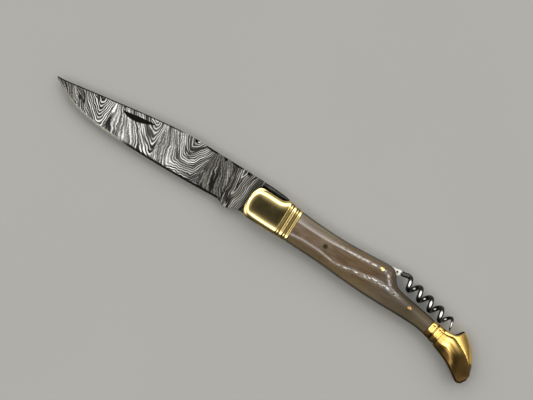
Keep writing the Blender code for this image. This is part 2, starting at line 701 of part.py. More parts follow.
def build_corkscrew():
    heel = arc(CORKSCREW_PIVOT, HEEL_RADIUS, *HEEL_ANGLES, HEEL_STEPS)
    tang = flat_part("corkscrew_tang", heel + TANG_BACK + TANG_BELLY, -TANG_HALF, TANG_HALF, TANG_STEEL)
    boolean(tang, CORKSCREW_PIN_CUTTER)
    boolean(tang, hole_cutter("cross_pin", CROSS_PIN, CROSS_RADIUS))
    boolean(tang, shank_cutter())
    curve = bpy.data.curves.new("corkscrew_worm", "CURVE")
    curve.dimensions = "3D"
    curve.bevel_depth = MM
    curve.bevel_resolution = WORM_ROUNDNESS
    curve.use_fill_caps = True
    wire = worm_points()
    spline = curve.splines.new("POLY")
    spline.points.add(len(wire) - 1)
    for point, (place, radius) in zip(spline.points, wire):
        point.co = (*(place * MM), 1)
        point.radius = radius
    worm = make_object("corkscrew_worm", welded_mesh("corkscrew_worm", curve), WORM_STEEL)
    boolean(worm, hole_cutter("cross_pin_worm", CROSS_PIN, CROSS_RADIUS))
    ends = (-TANG_HALF, TANG_HALF)
    cylinder("corkscrew_rivet", CROSS_PIN, CROSS_RADIUS, *ends, SPRING_STEEL, SMALL_PIN_SIDES)


# ---- Pins and rivets


def flush_pin(name, place, low, high):
    """A scale pin, cut off flush with the crowned cover."""
    pin = cylinder(name, place, PIN_RADIUS, low, high, BRASS)
    boolean(pin, SCALE_BLANK, "INTERSECT")
    return pin


def scale_blank():
    """Both scales and the space between them as one solid, which trims the pins."""
    rings = []
    for ring in scale_rings():
        outer = ring[2:]
        rings.append(outer + [(x, y, -z) for x, y, z in reversed(outer)])
    return as_helper(make_object("scale_blank", loft_mesh("scale_blank", rings), HORN))


def build_pins():
    long_end = 2 * HANDLE_HALF
    cylinder("blade_pivot_pin", PIVOT, PIVOT_RADIUS, -BLIND_END, BLIND_END, BRASS)
    cylinder("spring_rear_pin", SPRING_REAR, PIN_RADIUS, -BLIND_END, BLIND_END, BRASS)
    cylinder("spring_middle_pin", SPRING_PIVOT, PIN_RADIUS, -LINER_OUTER, LINER_OUTER, SPRING_STEEL)
    flush_pin("corkscrew_pin", CORKSCREW_PIVOT, -long_end, long_end)
    for side, sign in (("left", 1), ("right", -1)):
        low, high = sorted((sign * SLOT_HALF, sign * long_end))
        flush_pin(f"scale_pin_front_{side}", SCALE_PIN_FRONT, low, high)
        flush_pin(f"scale_pin_rear_{side}", SCALE_PIN_REAR, low, high)
        ends = sorted((sign * SLOT_HALF, sign * RIVET_END))
        for name, place in (("front_bolster_rivet", FRONT_RIVET), ("rear_bolster_rivet", REAR_RIVET)):
            cylinder(f"{name}_{side}", place, RIVET_RADIUS, *ends, BRASS, SMALL_PIN_SIDES)


clear_scene()
KNIFE = new_collection("folding_knife_with_corkscrew")
HELPERS = new_collection("cutters")
FRAME = bpy.data.objects.new("knife_frame", None)
KNIFE.objects.link(FRAME)
FRAME.location.z = HANDLE_HALF * MM

DAMASCUS = new_material("pattern_welded_steel", (0.34, 0.33, 0.31), 0.42, 0.9)
SPRING_STEEL = new_material("spring_steel", (0.16, 0.16, 0.16), 0.35, 0.9)
LINER_STEEL = new_material("liner_steel", (0.42, 0.42, 0.41), 0.4, 0.9)
WORM_STEEL = new_material("worm_steel", (0.22, 0.22, 0.22), 0.28, 1.0)
TANG_STEEL = new_material("tang_steel", (0.62, 0.61, 0.57), 0.45, 0.9)
BRASS = new_material("polished_brass", (0.72, 0.51, 0.2), 0.22, 1.0)
HORN = new_material("horn", (0.4, 0.34, 0.26), 0.32, 0.0)
# Cutters carry it, so that the faces they leave are steel.
STEEL = LINER_STEEL

PIVOT_CUTTER = hole_cutter("pivot", PIVOT, PIVOT_RADIUS, BLIND_END + BLIND_DEPTH)
REAR_PIN_CUTTER = hole_cutter("rear_pin", SPRING_REAR, PIN_RADIUS, BLIND_END + BLIND_DEPTH)
SPRING_PIN_CUTTER = hole_cutter("spring_pin", SPRING_PIVOT, PIN_RADIUS)
CORKSCREW_PIN_CUTTER = hole_cutter("corkscrew_pin", CORKSCREW_PIVOT, PIN_RADIUS)
FRONT_PIN_CUTTER = hole_cutter("scale_front", SCALE_PIN_FRONT, PIN_RADIUS)
REAR_SCALE_CUTTER = hole_cutter("scale_rear", SCALE_PIN_REAR, PIN_RADIUS)
FRONT_RIVET_CUTTER = hole_cutter("front_rivet", FRONT_RIVET, RIVET_RADIUS, RIVET_END + BLIND_DEPTH)
REAR_RIVET_CUTTER = hole_cutter("rear_rivet", REAR_RIVET, RIVET_RADIUS, RIVET_END + BLIND_DEPTH)
LINER_CUTTERS = [PIVOT_CUTTER, REAR_PIN_CUTTER, SPRING_PIN_CUTTER, CORKSCREW_PIN_CUTTER, FRONT_PIN_CUTTER,
                 REAR_SCALE_CUTTER, FRONT_RIVET_CUTTER, REAR_RIVET_CUTTER]
COVER_CUTTERS = {}
for end in ("left", "right"):
    COVER_CUTTERS["front_bolster", end] = [PIVOT_CUTTER, FRONT_RIVET_CUTTER]
    COVER_CUTTERS["scale", end] = [CORKSCREW_PIN_CUTTER, FRONT_PIN_CUTTER, REAR_SCALE_CUTTER]
    COVER_CUTTERS["rear_bolster", end] = [REAR_PIN_CUTTER, REAR_RIVET_CUTTER]

SCALE_BLANK = scale_blank()
build_covers()
build_liners()
build_spring()
build_blade()
build_corkscrew()
build_pins()
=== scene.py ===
"""Looks of the folding knife with a corkscrew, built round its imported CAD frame.

Sizes are in millimetres until a mesh is made. x runs along the handle towards its tail, y towards its back,
and heights start at the knife's middle plane, which lies MID above the surface that the knife rests on.
Profiles are (place, value) pairs, with straight lines between them.
"""

from math import cos, pi, radians, sin, sqrt

import bpy
import numpy as np
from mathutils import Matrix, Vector
from mathutils.geometry import tessellate_polygon
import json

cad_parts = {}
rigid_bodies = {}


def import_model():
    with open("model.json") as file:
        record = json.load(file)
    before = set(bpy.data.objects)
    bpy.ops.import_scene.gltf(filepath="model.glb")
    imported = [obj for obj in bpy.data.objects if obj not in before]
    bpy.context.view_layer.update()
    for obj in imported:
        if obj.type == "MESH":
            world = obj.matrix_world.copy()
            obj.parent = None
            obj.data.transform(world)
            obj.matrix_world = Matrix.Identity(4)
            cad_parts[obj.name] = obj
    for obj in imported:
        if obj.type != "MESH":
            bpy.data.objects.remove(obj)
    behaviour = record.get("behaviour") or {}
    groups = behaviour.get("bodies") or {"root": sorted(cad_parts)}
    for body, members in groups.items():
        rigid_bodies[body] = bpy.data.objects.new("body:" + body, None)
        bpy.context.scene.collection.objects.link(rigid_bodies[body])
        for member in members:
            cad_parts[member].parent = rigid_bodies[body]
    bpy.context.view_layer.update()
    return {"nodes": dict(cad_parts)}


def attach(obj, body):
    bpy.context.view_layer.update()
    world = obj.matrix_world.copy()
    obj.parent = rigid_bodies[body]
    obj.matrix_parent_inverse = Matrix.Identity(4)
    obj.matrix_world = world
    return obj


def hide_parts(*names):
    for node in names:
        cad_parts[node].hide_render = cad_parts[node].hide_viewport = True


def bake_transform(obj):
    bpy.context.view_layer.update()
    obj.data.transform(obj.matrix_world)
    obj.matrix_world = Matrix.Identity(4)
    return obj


MM = 0.001
MID = 6.2

# Layers, as heights from the middle plane.
HANDLE_HALF = 6.2
COVER_INNER = 2.55
LINER_OUTER = 2.5
LINER_INNER = 1.53
SPRING_HALF = 1.48
BLADE_HALF = 1.45
TANG_HALF = 1.38

# Handle sections from the front bolster to the tail: x and y on the back, then x and y on the belly.
FRONT_NOSE = [
    (-7.6, 2, -7.6, -0.3), (-7.35, 4, -7.4, -2), (-6.8, 5.9, -6.9, -3.6), (-5.9, 7.6, -6, -5),
    (-4.6, 8.45, -4.8, -5.75), (-3, 8.6, -3.2, -5.95),
]
FRONT_BODY = [
    FRONT_NOSE[-1], (4.4, 8.5, 4.4, -6), (6.4, 8.9, 6.4, -6), (7.8, 9.8, 7.8, -6), (8.8, 10.1, 8.8, -6),
    (9.7, 10, 9.7, -6),
]
FRONT_RIBS = [FRONT_BODY[-1], (12.5, 9.45, 12.5, -5.95), (15.6, 9.05, 15.6, -5.9)]
SCALE = [
    FRONT_RIBS[-1], (22, 8.6, 22, -6), (32, 8.2, 32, -6.3), (42, 8.35, 42, -6.95), (52, 9, 52, -7.45),
    (58, 9.45, 57.5, -7.6), (61.5, 9.2, 61, -7.6), (63.7, 7.9, 63.5, -7.6), (65.3, 5.6, 65.5, -7.55),
    (67.2, 3.5, 67.5, -7.5), (70.6, 2.2, 70.5, -7.4), (77, 1.2, 76.5, -7.35), (83, 0.25, 82.3, -7.5),
    (88.5, -0.8, 87.2, -8.1),
]
REAR_RIBS = [SCALE[-1], (91.6, -1.1, 90.3, -8.95), (94.7, -1.4, 93, -9.9)]
REAR_NECK = [REAR_RIBS[-1], (98.4, -1.6, 97, -11.4), (100.6, -0.75, 99.6, -12.4), (102.6, 2, 102, -13.5)]
REAR_HOOK = [
    REAR_NECK[-1], (105, 0.3, 104, -14.6), (108, -2.1, 106, -15.9), (110.5, -5, 108, -17.2),
    (112.5, -8.5, 109.3, -18.1), (113.6, -12.5, 110.8, -18.45), (113.5, -15.8, 112.2, -17.9),
]

# Ribs: where each starts and ends along the front bolster, and as shares of the rear bolster's ribbed part.
COLLAR = (8.8, 9.7)
COLLAR_SHINE = (8, 9.75)
FRONT_BANDS = ((9.95, 10.95), (11.15, 12.85), (13.05, 13.9), (14.1, 15.6))
REAR_BANDS = ((0, 0.44), (0.5, 0.88))
RIBS_START = 9.25
RIB_DEPTH = 0.4
RIB_SQUARE = 5
RIB_NARROWING = 0.35

# Slopes in degrees by distance in from an edge: the front bolster's back, belly and nose, and the rear ribs.
TOP_SLOPES = (
    (0, 50), (0.75, 34), (1.35, 19), (1.95, 8), (2.55, 4.9), (3.15, 4.1), (3.75, 2.8), (4.35, 2), (6, 0.6),
    (8, 0),
)
BELLY_SLOPES = (
    (0, 52), (0.57, 38), (1.17, 21), (1.77, 11), (2.37, 7.2), (2.97, 5), (3.57, 3.4), (4.17, 2.2), (6, 0.5),
    (8, 0),
)
NOSE_SLOPES = (
    (0, 48), (0.3, 24), (0.55, 15), (1.15, 7.5), (1.5, 4.8), (1.9, 3.8), (2.4, 2.6), (3, 1.8), (6, 0.5),
    (8, 0),
)
RIB_BACK = ((0, 52), (0.5, 36), (1, 22), (1.5, 6), (1.8, 0), (8, 0))
RIB_FLANK = ((0, 0), (1.6, 0), (2, 6.5), (3, 7.3), (12, 7.3))
RIB_BELLY = ((0, 36), (0.4, 26), (1.2, 18), (2.4, 14), (2.9, 6), (3.1, 0))
TAIL_BELLY = ((0, 62), (0.45, 50), (0.8, 30), (0.9, 3), (2, 1), (4, 0))

# The front bolster's nose: the middle of its round rim, and how far that reaches ahead and to each side.
NOSE_MIDDLE = (-1, 1.4)
NOSE_REACH = (6.6, 7.2)
NOSE_ROUNDNESS = 0.65
NOSE_FADE = (-1.5, 3)

# The hook: the line where its facet meets its body, slopes in degrees by distance from that line at the neck
# and at the tail, the facet's width by the place along the line, and the height of the facet's outer edge.
RIDGE = [
    (94.7, -2.2), (97, -2.5), (99.5, -2.35), (101.5, -2.9), (104, -4.1), (106.5, -5.4), (108.5, -6.8),
    (110.5, -8.5), (112.3, -10.6), (113.6, -12.8),
]
NECK_SLOPES = (
    (0, 1), (0.9, 1.5), (1.3, 7), (2.5, 8), (2.9, 5.4), (3.3, 5.4), (3.7, 8), (4.9, 8.5), (5.4, 16),
    (12, 16),
)
TAIL_SLOPES = ((0, 0.5), (1.2, 0.8), (1.8, 2.4), (3.4, 2.2), (4.5, 1.5), (6, 0.8), (10, 0.8))
FACET_REACH = ((86.2, 5), (89.8, 4.2), (92.9, 3.6), (96.6, 2.7), (100.1, 1.5), (103.2, 0.5))
FACET_LIP = 3.3
FACET_HOLLOW = 0.45
TAIL_DROP = 0.4
REAR_TOP = ((88.5, 5.45), (94.7, 6), (97, 6.15), (101, 6.15))
HOOK_START = (94.7, 99.5)

# Painted shade on the rear bolster: its crest's line, and how strong the brown shade is below it.
REAR_CREST = ((88.5, -5), (91, -5.4), (94, -6.3), (97, -7), (100, -7.6), (103, -8.2))
BROWN_BELOW = ((91, 0.95), (95, 0.8), (99, 0.95))
REAR_SEAMS = (0.47, 0.94)

# The horn cover: its top, the heights of its back and belly, how softly they meet, and where the top begins.
SCALE_TOP = ((15.6, 5.98), (30, 6.12), (55, 6.17), (66, 6.1), (72, 5.95), (88.5, 5.5))
SCALE_BACK = ((40, 3.75), (60, 3.7))
SCALE_BELLY = ((15, 3.7), (42, 3.6), (52, 3.15), (64, 3.15), (76, 3.5))
SCALE_BLUNT = ((15.6, 0.44), (30, 0.4), (40, 0.28), (46, 0.26), (62, 0.24), (72, 0.42))
BACK_REACH = (
    (15.6, 3.9), (30, 3.45), (40, 2.95), (57, 2.8), (61, 3.3), (66, 2.8), (70, 2.1), (76, 2.3), (88.5, 3.4),
)
BELLY_REACH = (
    (15.6, 3.3), (22, 4.1), (30, 4.2), (38, 3.6), (44, 4.9), (47.5, 5.8), (52, 6.6), (56, 7.7), (60, 8.2),
    (64, 7.9), (70, 7.2), (76, 6), (82, 5.2), (88.5, 4.4),
)
SCALE_EDGE_DROP = 0.75
SCALE_EDGE_REACH = 0.9
END_GAP = 0.05

# The blade: lines from its tip to the pivot, and the line at which its grind ends.
SPINE = [
    (-106, 2.6), (-101, 3.1), (-91, 4.7), (-81, 6.3), (-71, 7.9), (-61, 9.35), (-51, 10.6), (-44, 11.2),
    (-36, 11.3), (-5.6, 11.3),
]
EDGE = [
    (-106, 2.35), (-104, 0.8), (-101, -0.9), (-96, -3.3), (-91, -4.9), (-86, -5.9), (-81, -6.5),
    (-74, -6.95), (-66, -7.05), (-51, -7), (-36, -6.6), (-24, -6), (-19.4, -5.8), (-17.6, -6.3),
    (-15.5, -7.2), (-13, -6.8), (-11, -5.7), (-9, -5.2), (-5.6, -5),
]
PLUNGE = [(-19.6, 11.3), (-19, 8), (-18.3, 3), (-17.9, -2), (-17.8, -8)]
TAPER_START = -40
TIP_HALF = 0.45
BEVEL_HEIGHT = 0.85
BEVEL_HALF = 0.3
EDGE_HALF = 0.03
THINNEST = 0.02
TANG_RADIUS = 5.7
TANG_FLAT = 5
NICK_CENTRE = (-66.3, 6.3)
NICK_SLOPE = radians(7.5)
NICK_HALF_LENGTH = 8.2
NICK_WIDTH = 2.5
NICK_DEPTH = 0.6
NOTCHES = (-39.8, -24.8, -13.2)
NOTCH_HEIGHT = 10.6
NOTCH_DEPTH = 1.1
SCALLOPS = (-32, -19)
SCALLOP_HALF_LENGTH = 3.3
SCALLOP_HEIGHT = 0.9
SCALLOP_DEPTH = 0.85
FILE_WORK_SHIFT = 6.4
RIGHT_SIDE_SHIFT = 6

# Bowls in the layers: middle and left limit at the spine, the run per depth of the left wall's lines at its
# outer and inner ends and of the right wall's lines, how close the lines lie left, right and in the floor.
BOWLS = (
    (-84.6, -108, 0.62, 0.9, -0.02, 0.8, 1.02, 0.5),
    (-59.4, -78.2, 0.05, 0.98, 0.04, 0.78, 1.1, 0.42),
    (-39.2, -54, 0.26, 0.6, -0.52, 0.9, 0.95, 0.8),
    (-17, -30.6, -0.02, 0.85, 0.1, 0.95, 0.9, 0),
    (-14.6, -18.4, 0.08, 0.08, -0.13, 1, 1, 0),
)
CREASES = ((-78.2, 0.02), (-54.2, 0.05), (-30.3, -0.07))
CREASE_HALF = 0.22
CRISP = ((-92, -76), (-65, -53.5), (-46, -30), (-20, -4))
BOWL_SHARPNESS = 1.5

# Pins and the corkscrew's rivet.
PIN_A, PIN_B, PIN_C = (31.5, 1.5), (57.5, 6.4), (76.3, -2.1)
PIN_RADIUS = 1
CROSS_PIN = (63.9, 8.65)
CROSS_RADIUS = 0.5

SPRING_BACK = [
    (-5.35, 9.9), (8.3, 9.9), (9.4, 9.85), (15.6, 8.95), (22, 8.5), (30, 8.1), (38, 8.1), (46, 8.5),
    (52.9, 8.95), (53.6, 8.7), (53.7, 5.2), (54.6, 4), (57.5, 3.45), (62, 3.3), (66.5, 3.2), (70.6, 2.15),
    (77, 1.15), (83, 0.2), (88.5, -0.85), (94.7, -1.45), (98.4, -1.6), (100.4, -0.4), (102.3, 2.05),
    (105, 0.3), (108, -2.1), (110.5, -5), (112.5, -8.5), (113.55, -12.5), (113.45, -15.8), (112.3, -17.8),
    (110.8, -18.4), (109.3, -18),
]
SPRING_BELLY = [
    (107.1, -16.4), (106.5, -14.4), (105.2, -12.6), (100.2, -9.2), (95, -6.2), (90, -4.2), (84, -2.35),
    (76, -0.85), (70, 0.1), (62, 0.95), (57.5, 1.3), (54, 2.1), (50.5, 4.3), (47.4, 4.9), (34, 5),
    (26, 5.3), (18, 5.6), (14, 5.62), (4, 5.82), (-5.35, 5.82),
]
SPRING_HEAD = (-4, 8)

# The thumb pad: its ends, where its point begins, and its half width and rise along the handle.
PAD_ENDS = (-5.3, 8.15)
PAD_POINT = 6.4
PAD_FOOT = 9.98
PAD_WIDTH = ((-5.3, 1.5), (-3, 1.75), (0.5, 2.3), (4, 2.1), (6.4, 1.75))
PAD_RISE = ((-5.3, 1.3), (0, 1.27), (5, 0.9), (6.4, 0.75), (8.15, 0.25))

# Corkscrew: the tang's outline, and a wire that rises from the tang's end to the first top of a helix. The
# points of its shank are measured from where the wire starts.
HEEL_RADIUS = 2.75
HEEL_ANGLES = (-25, -270)
TANG_BACK = [(60, 9.5), (61.3, 9.62), (62, 9.8), (63, 9.82), (64, 10.15), (65.2, 10.2), (65.9, 10)]
TANG_BELLY = [
    (65.75, 9.3), (65.5, 8.9), (65.75, 8.2), (65.35, 7.5), (65.25, 7.05), (64.6, 6.95), (63.6, 6.9),
    (61.6, 6.2),
]
SHANK_POINTS = [(-2.5, -0.9, 0), (-1.5, -0.45, 0), (-0.6, -0.08, 0)]
SHANK_RADII = [0.8, 0.85, 1]
WORM_START = (66, 8.12)
WORM_SLOPE = radians(-12.5)
WORM_PITCH = 6.31
WORM_RADIUS = 2.2
WORM_WIRE = 1.13
WORM_LENGTH = 32
WORM_FIRST_TOP = 3.7
WORM_LEAD = (0, 3.2)
WORM_START_RISE = 1.08
TIP_TAPER = 7
TIP_SHARE = 0.16

# Light by angle from straight overhead, in degrees, on the belly side and on the back side of the knife.
LIGHT_FRONT = (
    (0, 0.03), (4, 0.04), (8, 0.22), (12, 0.8), (16, 2.2), (19, 5.5), (23, 5.5), (27, 1.2), (36, 0.4),
    (48, 0.1), (90, 0.05),
)
LIGHT_BACK = (
    (0, 0.03), (4, 0.04), (8, 0.25), (12, 0.9), (16, 2.2), (20, 5), (26, 5), (31, 2.9), (42, 2.6),
    (52, 1.9), (64, 0.8), (76, 0.35), (90, 0.25),
)
BRIGHTEST = 10
LIGHT_TINT = (1, 0.995, 0.965, 1)
TOWARDS_BACK = (-0.35, 0.94)

FLOOR_HALF = 3
FLOOR_DROP = 0.0001
CAMERA_HEIGHT = 0.9
CAMERA_PLACE = (-0.0007, 0.005)
CAMERA_TURN = radians(32)
VIEW_WIDTH = 0.2313
SENSOR_WIDTH = 36


# ---- Lines and distances


def smooth(points, steps):
    """A Catmull-Rom curve through the points, with steps intervals between each pair."""
    given = np.array(points, float)
    padded = np.vstack([2 * given[0] - given[1], given, 2 * given[-1] - given[-2]])
    t = (np.arange(steps) / steps)[:, None]
    path = []
    for i in range(1, len(padded) - 2):
        a, b, c, d = padded[i - 1:i + 3]
        bend = (2 * a - 5 * b + 4 * c - d) * t**2 + (3 * b - a - 3 * c + d) * t**3
        path.append(0.5 * (2 * b + (c - a) * t + bend))
    return np.vstack([*path, given[-1:]])


def line_at(points, x):
    """y at each x on a smooth line through the points."""
    curve = smooth(points, 12)
    return np.interp(x, curve[:, 0], curve[:, 1])


def level_at(x, profile):
    """The value of a profile at each x."""
    return np.interp(x, *zip(*profile))


def distance(places, line):
    """The distance from each place to a polyline."""
    p = places.reshape(-1, 1, 2)
    a, b = line[:-1], line[1:]
    run = b - a
    length = np.maximum((run**2).sum(1), 1e-12)
    t = np.clip(((p - a) * run).sum(2) / length, 0, 1)
    return np.sqrt(((a + t[..., None] * run - p) ** 2).sum(2)).min(1).reshape(places.shape[:-1])


def axes(places):
    return places[..., 0], places[..., 1]


def rounded(d, reach):
    """A quarter ellipse: 0 at the edge and 1 at reach and beyond."""
    return np.sqrt(1 - (1 - np.clip(d / reach, 0, 1)) ** 2)


def step(x, low, high):
    """A smooth rise from 0 at low to 1 at high."""
    t = np.clip((x - low) / (high - low), 0, 1)
    return t * t * (3 - 2 * t)


def bell(x, middle, width):
    return np.exp(-(((x - middle) / width) ** 2))


def fall(d, slopes):
    """How far a surface has still to rise at distance d from its edge, for slopes that lead up from it."""
    at = np.linspace(0, slopes[-1][0], 400)
    rise = np.tan(np.radians(level_at(at, slopes)))
    run = np.concatenate([[0], np.cumsum((rise[1:] + rise[:-1]) / 2 * np.diff(at))])
    return np.interp(d, at, run[-1] - run)


def descent(d, slopes):
    """How far a surface has dropped at distance d from a line, for slopes that lead down from it."""
    return fall(np.zeros(1), slopes) - fall(d, slopes)


# ---- Meshes


def make_mesh(name, points, faces, material, attributes=None, sharp=40):
    mesh = bpy.data.meshes.new(name)
    placed = (np.asarray(points, float) + (0, 0, MID)) * MM
    mesh.from_pydata(placed.tolist(), [], [list(f) for f in faces])
    mesh.validate()
    for key, values in (attributes or {}).items():
        made = mesh.attributes.new(key, "FLOAT", "POINT")
        made.data.foreach_set("value", np.asarray(values, np.float32).ravel())
    mesh.materials.append(material)
    mesh.shade_smooth()
    mesh.set_sharp_from_angle(angle=radians(sharp))
    obj = bpy.data.objects.new(name, mesh)
    bpy.context.scene.collection.objects.link(obj)
    return obj


def fit(obj, body, slot, *nodes):
    """Puts a piece on its body and hides the solids that it stands for; the slot is not used."""
    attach(obj, body)
    if nodes:
        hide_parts(*nodes)


def loft(name, rings, material, attributes=None, sharp=40, flip=False):
    """A closed mesh through an array of rings, each closed on itself, with both ends capped."""
    rings = np.asarray(rings, float)
    n, m = rings.shape[:2]
    index = np.arange(n * m).reshape(n, m)
    a, b = index[:-1], index[1:]
    quads = np.stack([a, np.roll(a, -1, 1), np.roll(b, -1, 1), b], -1).reshape(-1, 4)
    faces = [tuple(q) for q in quads.tolist()]
    faces.append(tuple(index[0][::-1].tolist()))
    faces.append(tuple(index[-1].tolist()))
    if flip:
        faces = [f[::-1] for f in faces]
    return make_mesh(name, rings.reshape(-1, 3), faces, material, attributes, sharp)


def mirrored(rings):
    return rings * (1, 1, -1)


def both_sides(name, rings, material, slot, attributes, sharp, left_flip):
    """A piece of the handle on its left side, and the same mirrored on its right."""
    for side, shown, flip in (("left", rings, left_flip), ("right", mirrored(rings), not left_flip)):
        made = loft(f"{name}_{side}_shaped", shown, material, attributes, sharp, flip)
        fit(made, "handle", slot, f"{name}_{side}")


def offset(outline, inset):
    """A closed outline (counter-clockwise) moved in by inset along its normals."""
    along = np.roll(outline, -1, 0) - np.roll(outline, 1, 0)
    along /= np.maximum(np.linalg.norm(along, axis=1, keepdims=True), 1e-9)
    return outline + np.stack([-along[:, 1], along[:, 0]], 1) * inset


def counter_clockwise(outline):
    x, y = outline[:, 0], outline[:, 1]
    area = (x * np.roll(y, -1) - np.roll(x, -1) * y).sum()
    return outline if area > 0 else outline[::-1]


def plate(name, outline, low, high, material, chamfer):
    """A flat plate with its edges broken."""
    outline = counter_clockwise(np.asarray(outline, float))
    inner = offset(outline, chamfer)
    levels = [(inner, low), (outline, low + chamfer), (outline, high - chamfer), (inner, high)]
    m = len(outline)
    points = np.vstack([np.column_stack([line, np.full(m, z)]) for line, z in levels])
    faces = []
    for k in range(len(levels) - 1):
        for i in range(m):
            j = (i + 1) % m
            faces.append((k * m + i, k * m + j, (k + 1) * m + j, (k + 1) * m + i))
    for a, b, c in tessellate_polygon([[Vector((x, y, 0)) for x, y in inner]]):
        turn = np.cross(inner[b] - inner[a], inner[c] - inner[a])
        up = (a, b, c) if turn > 0 else (c, b, a)
        faces.append(tuple(3 * m + i for i in up))
        faces.append(up[::-1])
    return make_mesh(name, points, faces, material, sharp=30)


# ---- Materials


def tinted(colour, factors):
    """A colour with its channels multiplied, none over 1."""
    return tuple(min(1, c * f) for c, f in zip(colour, factors)) + (1,)


class Nodes:
    """Short calls for building a node tree."""

    def __init__(self, tree):
        self.tree = tree

    def put(self, socket, value):
        if isinstance(value, bpy.types.NodeSocket):
            self.tree.links.new(value, socket)
        elif value is not None:
            socket.default_value = value

    def node(self, kind, inputs=None, out=0, **settings):
        made = self.tree.nodes.new(kind)
        for key, value in settings.items():
            setattr(made, key, value)
        for key, value in (inputs or {}).items():
            self.put(made.inputs[key], value)
        return made.outputs[out]

    def place(self, scale=(1, 1, 1), turn=0):
        """The object's own coordinates in millimetres, scaled."""
        at = self.node("ShaderNodeTexCoord", out="Object")
        size = tuple(s / MM for s in scale)
        return self.node("ShaderNodeMapping", {0: at, 2: (0, 0, turn), 3: size})

    def math(self, operation, a, b=None, c=None, clamp=False):
        return self.node("ShaderNodeMath", {0: a, 1: b, 2: c}, operation=operation, use_clamp=clamp)

    def times(self, a, b):
        return self.math("MULTIPLY", a, b)

    def add_share(self, value, share, to):
        """value times share, added to something."""
        return self.math("MULTIPLY_ADD", value, share, to)

    def rest_of(self, share):
        return self.math("SUBTRACT", 1, share)

    def noise(self, at, scale, detail=2, rough=0.5, distort=0, out=0):
        inputs = {"Vector": at, "Scale": scale, "Detail": detail, "Roughness": rough, "Distortion": distort}
        return self.node("ShaderNodeTexNoise", inputs, out=out)

    def grain(self, stretch, detail, rough=0.5, distort=0, turn=0, out=0):
        """Noise on the object's coordinates, stretched, and turned by an angle in degrees."""
        return self.noise(self.place(stretch, radians(turn)), 1, detail, rough, distort, out)

    def spots(self, scale):
        """The distance to the nearest of scattered points."""
        return self.node("ShaderNodeTexVoronoi", {"Vector": self.place(), "Scale": scale})

    def ramp(self, value, stops, mode="EASE"):
        made = self.tree.nodes.new("ShaderNodeValToRGB")
        made.color_ramp.interpolation = mode
        while len(made.color_ramp.elements) < len(stops):
            made.color_ramp.elements.new(0.5)
        for element, (where, colour) in zip(made.color_ramp.elements, stops):
            element.position = where
            element.color = (*colour, 1)
        self.put(made.inputs[0], value)
        return made.outputs[0]

    def grey(self, value, stops):
        return self.ramp(value, [(where, (level, level, level)) for where, level in stops], "LINEAR")

    def mix(self, share, a, b, blend="MIX"):
        made = self.tree.nodes.new("ShaderNodeMix")
        made.data_type = "RGBA"
        made.blend_type = blend
        self.put(made.inputs[0], share)
        self.put(made.inputs[6], a)
        self.put(made.inputs[7], b)
        return made.outputs[2]

    def attribute(self, name):
        return self.node("ShaderNodeAttribute", out=2, attribute_name=name)

    def stain(self, tone, name, most, colour):
        """The tone, covered with a colour by up to most where the named attribute is 1."""
        return self.mix(self.times(self.attribute(name), most), tone, (*colour, 1))

    def darken(self, tone, name, most, factors):
        """The tone, multiplied by factors where the named attribute is 1."""
        darker = self.mix(1, tone, (*factors, 1), "MULTIPLY")
        return self.mix(self.times(self.attribute(name), most), tone, darker)

    def bump(self, height, distance, strength=1, normal=None):
        inputs = {"Strength": strength, "Distance": distance * MM, "Height": height}
        if normal is not None:
            inputs["Normal"] = normal
        return self.node("ShaderNodeBump", inputs)


class Material(Nodes):
    """A Principled material in the making."""

    def __init__(self, name):
        self.material = bpy.data.materials.new(name)
        self.material.use_nodes = True
        super().__init__(self.material.node_tree)

    def finish(self, **inputs):
        shader = self.tree.nodes["Principled BSDF"]
        for key, value in inputs.items():
            self.put(shader.inputs[key.replace("_", " ")], value)
        return self.material


LAYER_TONES = (
    (0, (0.012, 0.012, 0.011)), (0.3, (0.05, 0.049, 0.046)), (0.6, (0.165, 0.163, 0.155)),
    (0.82, (0.42, 0.415, 0.4)), (1, (0.72, 0.712, 0.69)),
)


def pattern_steel():
    """Etched pattern-welded steel: bright and dark layers that follow the layers attribute."""
    n = Material("pattern_steel")
    bevel, painted_shade, calm = n.attribute("bevel"), n.attribute("painted_shade"), n.attribute("calm")
    at = n.place()
    field = n.attribute("layers")
    for scale, push in ((0.16, 1), (0.6, 0.34), (2.6, 0.16)):
        field = n.add_share(n.math("SUBTRACT", n.noise(at, scale, 2), 0.5), push, field)
    share = layer_share(n, at, field, calm)
    tone = n.ramp(share, LAYER_TONES)
    tone = n.darken(tone, "dull", 0.75, (0.42, 0.38, 0.32))
    tone = n.stain(tone, "bevel", 0.6, (0.4, 0.38, 0.32))
    # Painted shade: near black, and not metallic, in the nick, the file work and the blade's other shaded
    # places.
    tone = n.mix(painted_shade, tone, (0.006, 0.006, 0.005, 1))
    rough = n.mix(bevel, n.grey(share, [(0, 0.62), (1, 0.34)]), (0.3, 0.3, 0.3, 1))
    rough = n.add_share(painted_shade, 0.4, rough)
    relief = n.bump(n.times(share, n.rest_of(bevel)), 0.03, 0.7)
    relief = n.bump(n.grain((1.5, 14, 1), 2), 0.004, 0.6, relief)
    unshaded = n.rest_of(painted_shade)
    return n.finish(Base_Color=tone, Metallic=n.times(unshaded, 0.92), Roughness=rough, Normal=relief,
                    Specular_IOR_Level=n.times(unshaded, 0.5))


